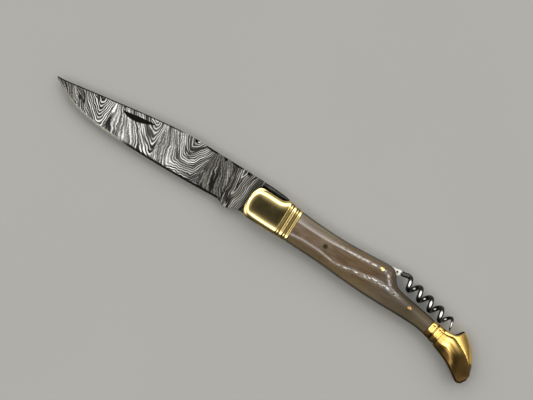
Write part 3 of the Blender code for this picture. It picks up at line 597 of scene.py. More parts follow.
def layer_share(n, at, field, calm):
    """How bright the etched layers are: even lines where the pattern is crisp, speckles where it is calm."""

    def stack(rate, slow, detail):
        inputs = {"Vector": n.place((slow, slow, slow)), "W": n.times(field, rate), "Scale": 1}
        found = n.node("ShaderNodeTexNoise", {**inputs, "Detail": detail}, noise_dimensions="4D")
        return n.math("SUBTRACT", found, 0.5)

    wave = n.math("SINE", n.times(field, 2 * pi / 0.76))
    speckle = n.math("SUBTRACT", n.noise(at, 1.9, 3, 0.7), 0.5)
    stroke = n.grey(n.math("ABSOLUTE", stack(0.5, 0.04, 0)), [(0.012, 1), (0.04, 0)])
    total = n.times(wave, n.add_share(calm, -0.55, 0.95))
    total = n.add_share(stack(0.75, 0.07, 1), 1.5, total)
    total = n.add_share(stack(2.6, 0.12, 1), 1.9, total)
    total = n.add_share(n.times(speckle, calm), 2.2, total)
    total = n.add_share(stroke, -1.3, total)
    share = n.math("MULTIPLY_ADD", total, 0.46, n.add_share(n.attribute("light"), 0.18, 0.425), clamp=True)
    contrast = n.grey(n.noise(at, 0.11, 3), [(0.3, 0.55), (0.6, 1)])
    return n.math("ADD", n.times(n.math("SUBTRACT", share, 0.5), contrast), 0.5)


def plain_steel(name, colour, rough, streak=(0.4, 9, 9), spots=0.35, painted_highlight=None):
    """Ground steel with fine lines along it, smudges and small pits, and painted lighter where a highlight
    should fall.
    """
    n = Material(name)
    lines = n.grain(streak, 3, 0.6)
    smudge = n.noise(n.place(), 0.22, 4, 0.6)
    pit = n.grey(n.spots(1.7), [(0.04, 0), (0.13, 1)])
    tone = n.mix(lines, tinted(colour, (0.72, 0.72, 0.72)), tinted(colour, (1.25, 1.25, 1.25)))
    tone = n.mix(n.times(n.grey(smudge, [(0.45, 0), (0.75, 1)]), spots), tone, (0.1, 0.085, 0.07, 1))
    roughness = n.grey(smudge, [(0.3, rough * 0.8), (0.75, min(1, rough * 1.5))])
    if painted_highlight:
        tone = n.mix(n.attribute("painted_highlight"), tone, (*painted_highlight, 1))
        roughness = n.add_share(n.attribute("painted_highlight"), 0.22, roughness)
    relief = n.bump(pit, 0.012, 0.25, n.bump(lines, 0.004, 0.7))
    return n.finish(Base_Color=tone, Metallic=0.95, Roughness=roughness, Normal=relief)


def polished_brass(name, colour, rough=0.07):
    """Polished brass with hairline scratches and tarnish, painted dark in its grooves (partly patina), and
    brown and matte where shaded.
    """
    n = Material(name)
    tarnish = n.noise(n.place(), 0.24, 5, 0.62)
    hair = n.grain((0.3, 4, 4), 2, 0.6, turn=18)
    crossing = n.grain((4, 0.3, 4), 2, 0.6, turn=-24)
    tone = n.mix(n.grey(tarnish, [(0.4, 0), (0.75, 0.6)]), (*colour, 1), tinted(colour, (0.8, 0.7, 0.55)))
    tone = n.mix(n.grey(n.spots(0.55), [(0.03, 0.5), (0.09, 0)]), tone, (0.55, 0.48, 0.3, 1))
    # Painted shade: brown, near black and matte brown where the masks mark shade and dark reflections; partly
    # patina in grooves.
    tone = n.stain(tone, "age", 0.9, (0.085, 0.045, 0.013))
    tone = n.stain(tone, "groove", 0.95, (0.03, 0.017, 0.006))
    tone = n.stain(tone, "matte", 0.9, (0.105, 0.07, 0.024))
    roughness = n.add_share(n.grey(tarnish, [(0.35, 0), (0.8, 1)]), 0.06, rough)
    for mask, more in (("age", 0.03), ("groove", 0.12), ("matte", 0.24)):
        roughness = n.add_share(n.attribute(mask), more, roughness)
    waves = n.bump(n.noise(n.place(), 0.3, 1), 0.012, 0.5)
    relief = n.bump(n.math("ADD", hair, crossing), 0.0003, 0.3, waves)
    return n.finish(Base_Color=tone, Metallic=1, Roughness=roughness, Normal=relief)


def horn():
    """Polished horn: cloudy lengthwise layers of grey, taupe and brown under a gloss with small dents."""
    n = Material("horn")
    ridge, tail, soft = n.attribute("ridge"), n.attribute("tail"), n.attribute("soft")
    dashes = n.grey(n.grain((0.62, 1.5, 1.5), 1.5, 0.5), [(0.44, 0), (0.53, 1)])
    worn = n.times(ridge, n.rest_of(dashes))
    bright = n.times(ridge, dashes)
    gloss = n.times(n.rest_of(tail), n.add_share(worn, -0.9, 1))
    gloss = n.times(gloss, n.add_share(soft, -0.15, 1))
    patches = n.grey(n.grain((0.2, 0.5, 0.5), 4), [(0.3, 0.16), (0.72, 0.26)])
    rough = n.add_share(bright, -0.1, n.mix(tail, patches, (0.42, 0.42, 0.42, 1)))
    rough = n.add_share(soft, 0.06, n.add_share(worn, 0.3, rough))
    scratches = n.grain((0.5, 7, 7), 3, 0.7, turn=7)
    crossing = n.grain((5, 0.6, 5), 2, 0.7, turn=-20)
    dents = n.grain((0.75, 1.7, 1.7), 1, 0.5)
    relief = n.bump(n.times(dents, ridge), 0.16, 1)
    relief = n.bump(n.math("ADD", scratches, crossing), 0.004, 0.5, relief)
    return n.finish(Base_Color=horn_tone(n), Roughness=rough, Normal=relief, IOR=1.56,
                    Specular_IOR_Level=n.add_share(tail, -0.2, 0.5),
                    Subsurface_Weight=0.1, Subsurface_Scale=0.5 * MM, Subsurface_Radius=(1, 0.7, 0.45),
                    Coat_Weight=gloss, Coat_Roughness=0.06, Coat_IOR=n.add_share(bright, 0.9, 1.5))


def horn_tone(n):
    """The horn's colour: clouds, streaks and veins along it, then its edges, its tail and its pins' rims."""
    wavy = n.grain((0.05, 0.12, 0.12), 3, out=1)
    bent = n.node("ShaderNodeVectorMath", {0: n.place((0.045, 0.3, 0.3)), 1: wavy}, operation="ADD")
    clouds = n.noise(bent, 1.4, 5, 0.55, 0.6)
    streaks = n.grain((0.1, 1.6, 1.6), 4, 0.6, 0.4)
    veins = n.grain((0.05, 0.75, 0.75), 3, 0.6, 1.2)
    tone = n.ramp(clouds, [(0.28, (0.05, 0.022, 0.009)), (0.44, (0.078, 0.044, 0.018)),
                           (0.58, (0.1, 0.062, 0.028)), (0.76, (0.136, 0.098, 0.05))])
    tone = n.mix(n.grey(streaks, [(0.46, 0), (0.76, 0.45)]), tone, (0.055, 0.032, 0.016, 1))
    tone = n.mix(n.grey(veins, [(0.6, 0), (0.76, 0.4)]), tone, (0.17, 0.145, 0.1, 1))
    tone = n.stain(tone, "edge", 0.6, (0.125, 0.112, 0.06))
    tone = n.stain(tone, "under", 0.5, (0.13, 0.1, 0.05))
    tone = n.stain(tone, "tail", 0.6, (0.06, 0.047, 0.02))
    tone = n.darken(tone, "shade", 0.62, (0.36, 0.33, 0.3))
    # Painted shade: near black along both edges, where the rounded sides turn away from the light.
    tone = n.stain(tone, "rim", 0.9, (0.01, 0.008, 0.004))
    return n.stain(tone, "ring", 1, (0.02, 0.014, 0.006))


# ---- Covers


def whole(*runs, steps=12):
    """Handle sections of several runs that follow each other, as one smooth path."""
    paths = [smooth(run, steps) for run in runs]
    return np.vstack([paths[0], *(path[1:] for path in paths[1:])])


FRONT_ALL = whole(FRONT_NOSE, FRONT_BODY, FRONT_RIBS)
SCALE_PATH = smooth(SCALE, 12)
REAR_ALL = whole(REAR_RIBS, REAR_NECK, REAR_HOOK)
RIDGE_PATH = smooth(RIDGE, 8)


def rib_grow(x, bands):
    """How far a ribbed part stands off its outline: nearly square ribs between grooves."""
    grow = np.full(np.shape(x), -RIB_DEPTH)
    for start, end in bands:
        share = np.clip(2 * (x - start) / (end - start) - 1, -1, 1)
        on_rib = (x >= start) & (x <= end)
        grow = np.where(on_rib, -RIB_DEPTH * (1 - np.sqrt(1 - np.abs(share) ** RIB_SQUARE)), grow)
    return grow


def rib_stations(bands, first, last, per_rib=17):
    """Places along a ribbed part, closer together where each rib's sides rise."""
    found = [first, last]
    for start, end in bands:
        found += list(start + (end - start) * (1 - across(per_rib)) / 2)
    return np.unique(np.clip(found, first, last))


def at_share(sections, share):
    """Sections at shares of the way along smooth ones."""
    path = smooth(sections, 24)
    place = np.asarray(share) * (len(path) - 1)
    return np.stack([np.interp(place, np.arange(len(path)), path[:, k]) for k in range(4)], 1)


def at_x(path, x):
    """Sections at places along the handle."""
    return np.stack([np.interp(x, path[:, 0], path[:, k]) for k in range(4)], 1)


def across(count):
    """Places across a section from back (1) to belly (-1), closer together at both edges."""
    return np.cos(np.linspace(0, pi, count))


def spread(sections, shares):
    """Points (section, place, xy) and half widths for places across each section."""
    back, belly = sections[:, :2], sections[:, 2:]
    middle, half = (back + belly) / 2, (back - belly) / 2
    return middle[:, None] + half[:, None] * shares[None, :, None], np.linalg.norm(half, axis=1)


def shell(places, heights):
    """Closed rings from crown places and heights: the flat inner face, the walls and the crown."""
    crown = np.concatenate([places, heights[..., None]], 2)
    floor = np.full((len(places), 1, 1), COVER_INNER)
    belly = np.concatenate([places[:, -1:], floor], 2)
    back = np.concatenate([places[:, :1], floor], 2)
    return np.concatenate([crown, belly, back], 1)


def grown_shell(places, heights, grow, half):
    """The same with each section wider and higher by grow."""
    centre = (places[:, :1] + places[:, -1:]) / 2
    factor = 1 + grow / half
    return shell(centre + (places - centre) * factor[:, None, None], heights + grow[:, None])


def front_bolster_rings():
    bands = (COLLAR, *FRONT_BANDS)
    ribs = rib_stations(bands, RIBS_START, FRONT_RIBS[-1][0])[1:]
    ribbed = at_x(np.vstack([smooth(FRONT_BODY, 24)[-24:], smooth(FRONT_RIBS, 24)[1:]]), ribs)
    body = smooth(FRONT_BODY, 9)[1:-4]
    sections = np.vstack([smooth(FRONT_NOSE, 7), body[body[:, 0] < RIBS_START - 0.05], ribbed])
    places, half = spread(sections, across(61))
    gap = distance(places, np.vstack([FRONT_ALL[::-1, :2], FRONT_ALL[:, 2:]]))
    x = sections[:, 0]
    top = HANDLE_HALF - 0.05 * step(x, 9.5, 10.5)
    grow = np.where(x > RIBS_START, rib_grow(x, bands), 0)
    return grown_shell(places, top[:, None] - pillow(places, gap), grow, half)


def pillow(places, gap):
    """How far the front bolster's face lies below its middle: little at first, then steep at its outline."""
    x, y = axes(places)
    ahead = np.maximum(0, (NOSE_MIDDLE[0] - x) / NOSE_REACH[0])
    out = np.hypot(ahead, (y - NOSE_MIDDLE[1]) / NOSE_REACH[1])
    round_gap = NOSE_REACH[1] * np.maximum(0, 1 - out)
    gap = gap + NOSE_ROUNDNESS * (1 - step(x, *NOSE_FADE)) * (round_gap - gap)
    nose = step(ahead / np.maximum(out, 1e-6), 0.15, 0.85)
    upper = step(y, -1, 4)
    sides = upper * fall(gap, TOP_SLOPES) + (1 - upper) * fall(gap, BELLY_SLOPES)
    return sides + nose * (fall(gap, NOSE_SLOPES) - sides)


def scale_height(places):
    """The horn cover's height above the middle plane at places (x, y)."""
    x = places[..., 0]
    back, belly = distance(places, SCALE_PATH[:, :2]), distance(places, SCALE_PATH[:, 2:])
    top, blunt = level_at(x, SCALE_TOP), level_at(x, SCALE_BLUNT)
    sides = [top]
    for away, foot, reach in ((back, SCALE_BACK, BACK_REACH), (belly, SCALE_BELLY, BELLY_REACH)):
        low = level_at(x, foot)
        sides.append(low + (top - low) * away / level_at(x, reach))
    height = -blunt * np.log(sum(np.exp(-side / blunt) for side in sides)) + blunt * 0.35
    return height - SCALE_EDGE_DROP * (1 - rounded(np.minimum(back, belly), SCALE_EDGE_REACH))


def scale_rings():
    sections = smooth(SCALE, 16)
    places, _ = spread(sections, across(71))
    places[0, :, 0] += END_GAP
    places[-1, :, 0] -= END_GAP
    x = sections[:, 0]
    wear = rounded(x - x[0] + 0.2, 0.5) * rounded(x[-1] + 0.2 - x, 0.5)
    heights = COVER_INNER + (scale_height(places) - COVER_INNER) * (0.97 + 0.03 * wear[:, None])
    return shell(places, heights)


def scale_attributes(rings):
    """Where the horn is paler, dark, glossy or worn: by its edges, its ridges, its tail and its pins; its
    edges' dark is painted shade.
    """
    places = rings[..., :2]
    x, y = axes(places)
    back, belly = distance(places, SCALE_PATH[:, :2]), distance(places, SCALE_PATH[:, 2:])
    edge = (1 - step(back, 1.2, 3.4)) * (0.35 + 0.65 * step(x, 20, 27)) * (1 - 0.85 * step(x, 31, 41))
    # Painted shade: near black along both edges.
    rim = np.maximum(0.95 * (1 - step(back, 0.25, 0.9)), 1 - step(belly, 0.35, 1.3))
    ridge = np.maximum(bell(back, level_at(x, BACK_REACH), 0.9), bell(belly, level_at(x, BELLY_REACH), 0.9))
    pins = [np.hypot(x - pin[0], y - pin[1]) for pin in (PIN_A, PIN_B, PIN_C)]
    return {
        "edge": edge,
        "under": 1 - step(belly, 1.5, 5),
        "rim": rim,
        "ridge": ridge * step(x, 28, 48) * (1 - step(x, 68, 73)),
        "tail": step(x, 60, 78),
        "ring": 1 - step(np.minimum.reduce(pins), 1.05, 1.35),
        "shade": step(x, 50, 66) * (1 - 0.6 * step(x, 75, 82)),
        "soft": 1 - step(x, 28, 44),
    }


def rear_bolster_rings():
    """Two ribs, a neck, and a hook: its facet lies outside the ridge line, its body inside."""
    rib_shares = rib_stations(REAR_BANDS, 0, 1)
    count = len(rib_shares)
    sections = [at_share(REAR_RIBS, rib_shares), smooth(REAR_NECK, 12)[1:], smooth(REAR_HOOK, 10)[1:]]
    sections = np.vstack(sections)
    rest = len(sections) - count
    places, half = spread(sections, across(65))
    x, y = axes(places)
    back = distance(places, REAR_ALL[:, :2])
    belly = distance(places, np.vstack([REAR_ALL[:, 2:], REAR_ALL[-1:, :2]]))
    tail = np.concatenate([np.zeros(count), step(np.linspace(0, 1, rest), 0.15, 1)])
    x_back = sections[:, 0]
    top = (level_at(x_back, REAR_TOP) - TAIL_DROP * tail**2)[:, None]
    crown = top - fall(back, RIB_BACK) - descent(back, RIB_FLANK) - fall(belly, RIB_BELLY)
    outside = (y > line_at(RIDGE, x)) & (x > RIDGE[0][0])
    hook = np.where(outside, facet_height(places, back, top), top - body_fall(places, belly))
    on_hook = np.where(np.arange(len(sections)) < count, 0, step(x_back, *HOOK_START))[:, None]
    heights = np.maximum(crown + (hook - crown) * on_hook, COVER_INNER + 0.2)
    grow = np.concatenate([rib_grow(rib_shares, REAR_BANDS), np.zeros(rest)])
    return grown_shell(places, heights, grow, half)


def facet_height(places, back, top):
    """The hook's slightly hollow facet, which falls from the ridge line to a thin outer edge."""
    along_ridge = 0.85 * places[..., 0] - 0.53 * places[..., 1]
    out = 1 - np.clip(distance(places, RIDGE_PATH) / level_at(along_ridge, FACET_REACH), 0, 1)
    rise = (1 + FACET_HOLLOW) * out - FACET_HOLLOW * out**2
    return FACET_LIP + (top - FACET_LIP) * rise - 0.35 * (1 - rounded(back, 0.5))


def body_fall(places, belly):
    """How far the hook's body lies below its top: round at the neck, and nearly flat towards the tail."""
    beside = distance(places, RIDGE_PATH)
    past_neck = 0.8 * places[..., 0] - 0.45 * places[..., 1]
    neck_fall = descent(beside, NECK_SLOPES)
    side = neck_fall + step(past_neck, 81, 92) * (descent(beside, TAIL_SLOPES) - neck_fall)
    neck_edge = fall(belly, RIB_BELLY)
    return side + neck_edge + step(past_neck, 80, 94) * (fall(belly, TAIL_BELLY) - neck_edge)


def front_shade_and_patina(rings):
    """Painted shade, partly patina, on the front bolster: dark in its grooves, brown by its belly and thin
    ribs, dark and matte on its ribs.
    """
    places = rings[..., :2]
    x, y = axes(places)
    proud = 1 + rib_grow(x[:, :1], (COLLAR_SHINE, *FRONT_BANDS)) / RIB_DEPTH
    thin_ribs = ((x > 9.75) & (x < 11.1)) | ((x > 12.9) & (x < 14))
    belly = 0.45 * (1 - step(distance(places, FRONT_ALL[:, 2:]), 0.2, 1.5))
    middle = 1 - step(np.abs(y - 1.6), 4.2, 5.6)
    return {
        "groove": np.where(x > 9.3, 1 - proud, 0),
        "age": np.maximum(belly, 0.5 * thin_ribs),
        "matte": step(x, 9.2, 9.6) * middle * np.where(thin_ribs, 1, 0.65),
    }


def rear_shade_and_patina(rings):
    """Painted shade on the rear bolster, dark and brown: its rib seams (partly patina), ridge line, tail,
    belly and shoulder.
    """
    places = rings[..., :2]
    x, y = axes(places)
    run = (x[:, :1] - REAR_RIBS[0][0]) / (REAR_RIBS[-1][0] - REAR_RIBS[0][0])
    along = 0.6 * x - 0.8 * y
    inside = (y < line_at(RIDGE, x)) & (x > 95.5)
    below = level_at(x, REAR_CREST) - y
    dark = [bell(run, seam, 0.045) * np.ones(x.shape) for seam in REAR_SEAMS]
    dark += [0.9 * step(along, 67, 76) * inside, 0.5 * step(below, 0.2, 1.6) * step(x, 97.5, 101)]
    brown = [
        0.75 * bell(distance(places, RIDGE_PATH), 0, 0.7) * step(along, 58.5, 62) * inside,
        step(along, 64.5, 70.5) * inside,
        step(below, -0.5, 0.9) * level_at(x, BROWN_BELOW),
        0.55 * step(-below, 2.2, 3.2) * (1 - step(x, 93, 95.5)),
    ]
    return {"groove": np.maximum.reduce(dark), "age": np.maximum.reduce(brown)}


def build_covers():
    for name, make_rings, make_attributes, material, slot in (
        ("front_bolster", front_bolster_rings, front_shade_and_patina, BRASS, "brass"),
        ("scale", scale_rings, scale_attributes, HORN, "horn"),
        ("rear_bolster", rear_bolster_rings, rear_shade_and_patina, BRASS_REAR, "brass"),
    ):
        rings = make_rings()
        attributes = make_attributes(rings)
        both_sides(name, rings, material, slot, attributes, 38, left_flip=True)


# ---- Inner plates


def narrowed(path):
    """A ribbed stretch's sections, moved in to the floor of its grooves."""
    return np.hstack([path[:, :2] + (0, -RIB_NARROWING), path[:, 2:] + (0, RIB_NARROWING)])


def handle_outline():
    runs = [smooth(FRONT_NOSE, 6), smooth(FRONT_BODY, 6)[1:-1], narrowed(smooth(FRONT_RIBS, 6)[:-1]),
            smooth(SCALE, 5)[:-1], narrowed(smooth(REAR_RIBS, 6)), smooth(REAR_NECK, 8)[1:],
            smooth(REAR_HOOK, 6)[1:]]
    path = np.vstack(runs)
    return np.vstack([path[:, :2], path[::-1, 2:]])


def build_plates():
    outline = handle_outline()
    for side, low, high in (("left", LINER_INNER, LINER_OUTER), ("right", -LINER_OUTER, -LINER_INNER)):
        liner = plate(f"liner_{side}_shaped", outline, low, high, LINER_STEEL, 0.06)
        fit(liner, "handle", "liner_steel", f"liner_{side}")
    head = np.linspace(*SPRING_HEAD, 13)
    head = np.column_stack([head, np.full(len(head), SPRING_BACK[0][1])])
    outline = np.vstack([SPRING_BACK[:1], head, smooth(SPRING_BACK[1:], 4), smooth(SPRING_BELLY, 3)])
    spring = plate("back_spring", outline, -SPRING_HALF, SPRING_HALF, SPRING_STEEL, 0.12)
    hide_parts("spring_arm", "spring_bar")
    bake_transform(spring)


def build_pad():
    """The pad on the spring's head: a leaf shape seen from the back, domed, with a pointed front."""
    start, end = PAD_ENDS
    point = end - PAD_POINT
    x = np.concatenate([np.linspace(start, PAD_POINT, 26),
                        PAD_POINT + point * np.sin(np.linspace(0, pi / 2, 12))[1:]])
    narrowing = np.sqrt(np.maximum(0.02, 1 - ((x - PAD_POINT) / (point + 0.05)) ** 2))
    width = level_at(x, PAD_WIDTH) * np.where(x > PAD_POINT, narrowing, 1)
    rise = level_at(x, PAD_RISE)[:, None]
    turn = np.linspace(0, pi, 21)
    bow = np.sign(np.cos(turn)) * np.abs(np.cos(turn)) ** 0.8
    rings = np.zeros((len(x), len(turn), 3))
    rings[..., 0] = x[:, None]
    rings[..., 1] = PAD_FOOT + 0.25 * np.minimum(1, rise) + rise * 0.78 * np.sin(turn) ** 0.7
    rings[..., 2] = width[:, None] * bow
    floor = rings[:, [-1, 0]].copy()
    floor[..., 1] = PAD_FOOT
    pad = loft("thumb_pad_shaped", np.concatenate([rings, floor], 1), SPRING_STEEL)
    fit(pad, "spring_arm", "spring_steel", "thumb_pad")


# ---- Blade


def bowl_field(x, depth, bowl):
    """How deep a place lies in the layers of one bowl: its two walls and its floor, softly joined."""
    middle, left, outer, inner, lean, rate_left, rate_right, rate_floor = bowl
    start = x
    for _ in range(8):
        turned = np.sqrt(np.clip((start - left) / (middle - left), 0, 1))
        start = (start + x - depth * (outer + (inner - outer) * turned)) / 2
    walls = [rate_left * (middle - start), rate_right * (x - depth * lean - middle)]
    if rate_floor:
        walls.append(rate_floor * (depth - 0.4) + 0.3 * np.minimum(0, x - middle + 2))
    return np.log(sum(np.exp(wall * BOWL_SHARPNESS) for wall in walls)) / BOWL_SHARPNESS


def layer_field(x, y):
    """How deep each place lies in the blade's stack of layers: bowls pressed in from the spine."""
    wavy_x = x + 0.3 * np.sin(0.55 * y + 0.21 * x) + 0.1 * np.sin(1.7 * y - 0.5 * x)
    wavy_y = y + 0.3 * np.sin(0.9 * x) + 0.14 * np.sin(2.1 * x + 0.6 * y)
    depth = np.maximum(line_at(SPINE, x) - wavy_y, 0)
    field = bowl_field(wavy_x, depth, BOWLS[0])
    for (place, lean), bowl in zip(CREASES, BOWLS[1:]):
        beyond = x - place - lean * depth
        field += step(beyond, -CREASE_HALF, CREASE_HALF) * (bowl_field(wavy_x, depth, bowl) - field)
    return np.where(x > plunge_at(y), bowl_field(wavy_x, depth, BOWLS[-1]), field)


def plunge_at(y):
    """Where along the blade the grind ends at each y."""
    points = np.array(PLUNGE[::-1])
    return np.interp(y, points[:, 1], points[:, 0])


def bevel_lift(spine, edge):
    """How far above the edge the sharpening bevel ends."""
    return np.minimum(BEVEL_HEIGHT, (spine - edge) * 0.5)


def nick_depth(x, y):
    """The nail nick: a straight upper wall, and a floor that rises to a curved lower edge."""
    ahead, above = x - NICK_CENTRE[0], y - NICK_CENTRE[1]
    along = (ahead * cos(NICK_SLOPE) + above * sin(NICK_SLOPE)) / NICK_HALF_LENGTH
    below = ahead * sin(NICK_SLOPE) - above * cos(NICK_SLOPE)
    inside = np.maximum(0, 1 - along**2)
    lower = NICK_WIDTH * inside**0.85 * (1 - 0.32 * along)
    floor = NICK_DEPTH * np.clip(1 - below / np.maximum(lower, 1e-6), 0, 1) * inside**0.5
    return np.where((below >= 0) & (below <= lower) & (np.abs(along) < 1), floor, 0)


def file_work(x, y, shift):
    """How much the spine's corner is filed away: round notches and long shallow scallops."""
    cut = np.zeros(np.shape(x))
    for place in NOTCHES:
        away = np.hypot(x - place - shift, np.minimum(0, y - NOTCH_HEIGHT))
        cut = np.maximum(cut, NOTCH_DEPTH * (1 - step(away, 0.48, 0.7)))
    for place in SCALLOPS:
        along = (x - place - shift) / SCALLOP_HALF_LENGTH
        lip = SPINE[-1][1] - SCALLOP_HEIGHT * np.sqrt(np.maximum(0, 1 - along**2))
        cut = np.maximum(cut, SCALLOP_DEPTH * step(y - lip, 0, 0.2) * (np.abs(along) < 1))
    return cut


def painted_shade_at(x, y, left):
    """Where the blade is painted black as shade: its nick, file work, spine and plunge line, and its edge
    near the handle.
    """
    spine, edge = line_at(SPINE, x), line_at(EDGE, x)
    nick = step(nick_depth(x, y), 0, 0.05) * left
    filed = step(file_work(x, y, 0 if left else FILE_WORK_SHIFT), 0.15, 0.45)
    # Painted shade and dark reflections: the spine's chamfer, the bevel, the plunge line and the blade beside
    # the bolster.
    line = step(y, spine - 0.62, spine - 0.38) * (1 - step(x, -50, -44)) * 0.97
    low = (1 - step(y, edge + 0.88, edge + 1.15)) * step(x, -72, -64) * (1 - step(x, -19.6, -19)) * 0.97
    plunge = bell(x, plunge_at(y) - 0.3, 0.32) * 0.85
    joint = step(x, -10.5, -7.2) * 0.8
    return np.maximum.reduce([nick, filed, line, low, plunge, joint])


def blade_half(x, y, spine, edge):
    """Half the blade's thickness at a place, before the nick and the file work."""
    taper = np.maximum(0, (TAPER_START - x) / (TAPER_START - SPINE[0][0]))
    full = BLADE_HALF - (BLADE_HALF - TIP_HALF) * taper**1.6
    lift = bevel_lift(spine, edge)
    bevel_top = edge + lift
    up = np.clip((y - bevel_top) / np.maximum(spine - bevel_top, 1e-6), 0, 1)
    grind = BEVEL_HALF + (full - BEVEL_HALF) * up
    bevel = EDGE_HALF + (BEVEL_HALF - EDGE_HALF) * np.clip((y - edge) / lift, 0, 1)
    ground = np.where(y > bevel_top, grind, bevel)
    unground = BLADE_HALF - 0.25 * (1 - rounded(y - edge, 0.35))
    share = step(x, plunge_at(y) - 0.9, plunge_at(y) + 0.15)
    chamfer = 0.3 * np.clip(1 - (spine - y) / 0.42, 0, 1) * (1 - step(x, -48, -42))
    return ground + (unground - ground) * share - chamfer


def blade_rings():
    """Sections of the blade from its tip to its shoulder, the left face and then the right one."""
    tip = [-106, -105.8, -105.5, -105.1, -104.6, -104.1, -103.5, -102.8]
    stations = np.concatenate([tip, np.arange(-102.5, -20.5, 0.21), np.arange(-20.4, -17.2, 0.1),
                               np.arange(-17.1, -5.7, 0.19), [-5.6]])
    spine, edge = line_at(SPINE, stations)[:, None], line_at(EDGE, stations)[:, None]
    shoulder = edge + bevel_lift(spine, edge)
    bevel = edge + (shoulder - edge) * np.linspace(0, 1, 6)
    face = shoulder + (spine - shoulder) * np.linspace(0, 1, 84)[1:]
    y = np.hstack([bevel, face])
    x = np.repeat(stations[:, None], y.shape[1], 1)
    half = blade_half(x, y, spine, edge)
    left = np.maximum(half - nick_depth(x, y) - file_work(x, y, 0), THINNEST)
    right = np.maximum(half - file_work(x, y, FILE_WORK_SHIFT), THINNEST)
    return np.concatenate([np.stack([x, y, left], -1), np.stack([x, y, -right], -1)[:, ::-1]], 1)


def tang_rings(columns):
    """Sections of the tang: straight on the back up to the pivot, then round."""
    lines = [(-5.55, TANG_RADIUS, TANG_FLAT)]
    for x in (-4.2, -2.8, -1.4):
        lines.append((x, TANG_RADIUS, max(sqrt(TANG_RADIUS**2 - x**2), TANG_FLAT)))
    for turn in np.linspace(0, pi / 2, 14)[:-1]:
        reach = TANG_RADIUS * cos(turn)
        lines.append((TANG_RADIUS * sin(turn), reach, reach))
    rings = []
    for x, above, below in lines:
        face = np.column_stack([np.full(columns, x), np.linspace(-below, above, columns),
                                np.full(columns, BLADE_HALF)])
        rings.append(np.concatenate([face, mirrored(face)[::-1]]))
    return np.array(rings)


def blade_attributes(rings):
    """The layers, and where the blade is bevelled, dull, painted black as shade, light, or calm between its
    crisp bowls.
    """
    x, y, z = rings[..., 0], rings[..., 1], rings[..., 2]
    right = z < 0
    layers = layer_field(np.where(right, x - RIGHT_SIDE_SHIFT, x), y)
    layers = np.where(right & (x > -18.5), layer_field(x, y) + 0.4, layers)
    spine, edge = line_at(SPINE, x), line_at(EDGE, x)
    crisp = [step(x, low, low + 4) * (1 - step(x, high - 2, high)) for low, high in CRISP]
    return {
        "layers": layers,
        "bevel": (y < edge + bevel_lift(spine, edge) + 0.02) & (x < -64),
        "dull": np.maximum(0.75 * step(x, -33, -28), 0.55 * (1 - step(x, -98, -88))),
        "painted_shade": np.where(right, painted_shade_at(x, y, False), painted_shade_at(x, y, True)),
        "light": step(x, -84, -74) * (1 - step(x, -46, -38)),
        "calm": 1 - np.maximum.reduce(crisp),
    }


def build_blade():
    rings = blade_rings()
    rings = np.concatenate([rings, tang_rings(rings.shape[1] // 2)])
    blade = loft("blade_shaped", rings, PATTERN, blade_attributes(rings), 24, flip=True)
    fit(blade, "blade", "pattern_steel", "blade")


# ---- Corkscrew


def tube(name, path, radii, material, sides=20):
    """A round wire along a path, its rings carried along without twist, and painted with highlights where it
    stands out.
    """
    along = np.gradient(path, axis=0)
    along /= np.linalg.norm(along, axis=1, keepdims=True)
    normal = np.cross(along[0], (0, 0, 1))
    rings = []
    facing = []
    turn = np.linspace(0, 2 * pi, sides, endpoint=False)[:, None]
    for p, a, r in zip(path, along, radii):
        normal = normal - a * (normal @ a)
        normal /= np.linalg.norm(normal)
        out = np.cos(turn) * normal + np.sin(turn) * np.cross(a, normal)
        rings.append(p + r * out)
        facing.append(np.where(abs(p[2]) > 0.3, np.sign(p[2]) * out[:, 2], 0))
    # Painted highlights: bright on the outer faces of the strands that stand out most, fainter on their inner
    # faces.
    proud = step(np.abs(path[:, 2]), 1.3, 2)[:, None]
    facing = np.array(facing)
    painted_highlight = proud * (step(facing, 0.86, 0.98) + 0.4 * step(-facing, 0.92, 0.99))
    return loft(name, np.array(rings), material, {"painted_highlight": painted_highlight}, 50, flip=True)


def worm_path():
    """Points along the wire and its radius at each: the shank in the tang, the rise, and the coil."""
    s = np.linspace(0, WORM_LENGTH, 260)
    turn = 2 * pi * np.maximum(0, s - WORM_FIRST_TOP) / WORM_PITCH
    coil = WORM_START_RISE + (WORM_RADIUS - WORM_START_RISE) * step(s, *WORM_LEAD)
    ahead = np.array((cos(WORM_SLOPE), sin(WORM_SLOPE), 0))
    up = np.array((-sin(WORM_SLOPE), cos(WORM_SLOPE), 0))
    path = np.array((*WORM_START, 0)) + s[:, None] * ahead + (coil * np.cos(turn))[:, None] * up
    path[:, 2] += coil * np.sin(turn)
    wire = WORM_WIRE * (TIP_SHARE + (1 - TIP_SHARE) * np.minimum(1, (WORM_LENGTH - s) / TIP_TAPER) ** 0.7)
    shank = path[0] + SHANK_POINTS
    return np.vstack([shank, path]), np.concatenate([SHANK_RADII, wire])


def build_corkscrew():
    turn = np.radians(np.linspace(*HEEL_ANGLES, 40))
    heel = np.array(PIN_B) + HEEL_RADIUS * np.column_stack([np.cos(turn), np.sin(turn)])
    outline = np.vstack([heel, smooth(TANG_BACK, 4), smooth(TANG_BELLY, 4)])
    tang = plate("corkscrew_tang_shaped", outline, -TANG_HALF, TANG_HALF, TANG_STEEL, 0.22)
    fit(tang, "corkscrew", "tang_steel", "corkscrew_tang")
    worm = tube("corkscrew_worm_shaped", *worm_path(), WORM_STEEL)
    fit(worm, "corkscrew", "worm_steel", "corkscrew_worm")
    ends = pin_top(CROSS_PIN, CROSS_RADIUS, tang_height, 0.05)
    rivet = loft("corkscrew_rivet_shaped", through(ends), SPRING_STEEL, None, 50)
    fit(rivet, "corkscrew", "spring_steel", "corkscrew_rivet")


# ---- Pins


def tang_height(places):
    return np.full(places.shape[:-1], TANG_HALF + 0.03)


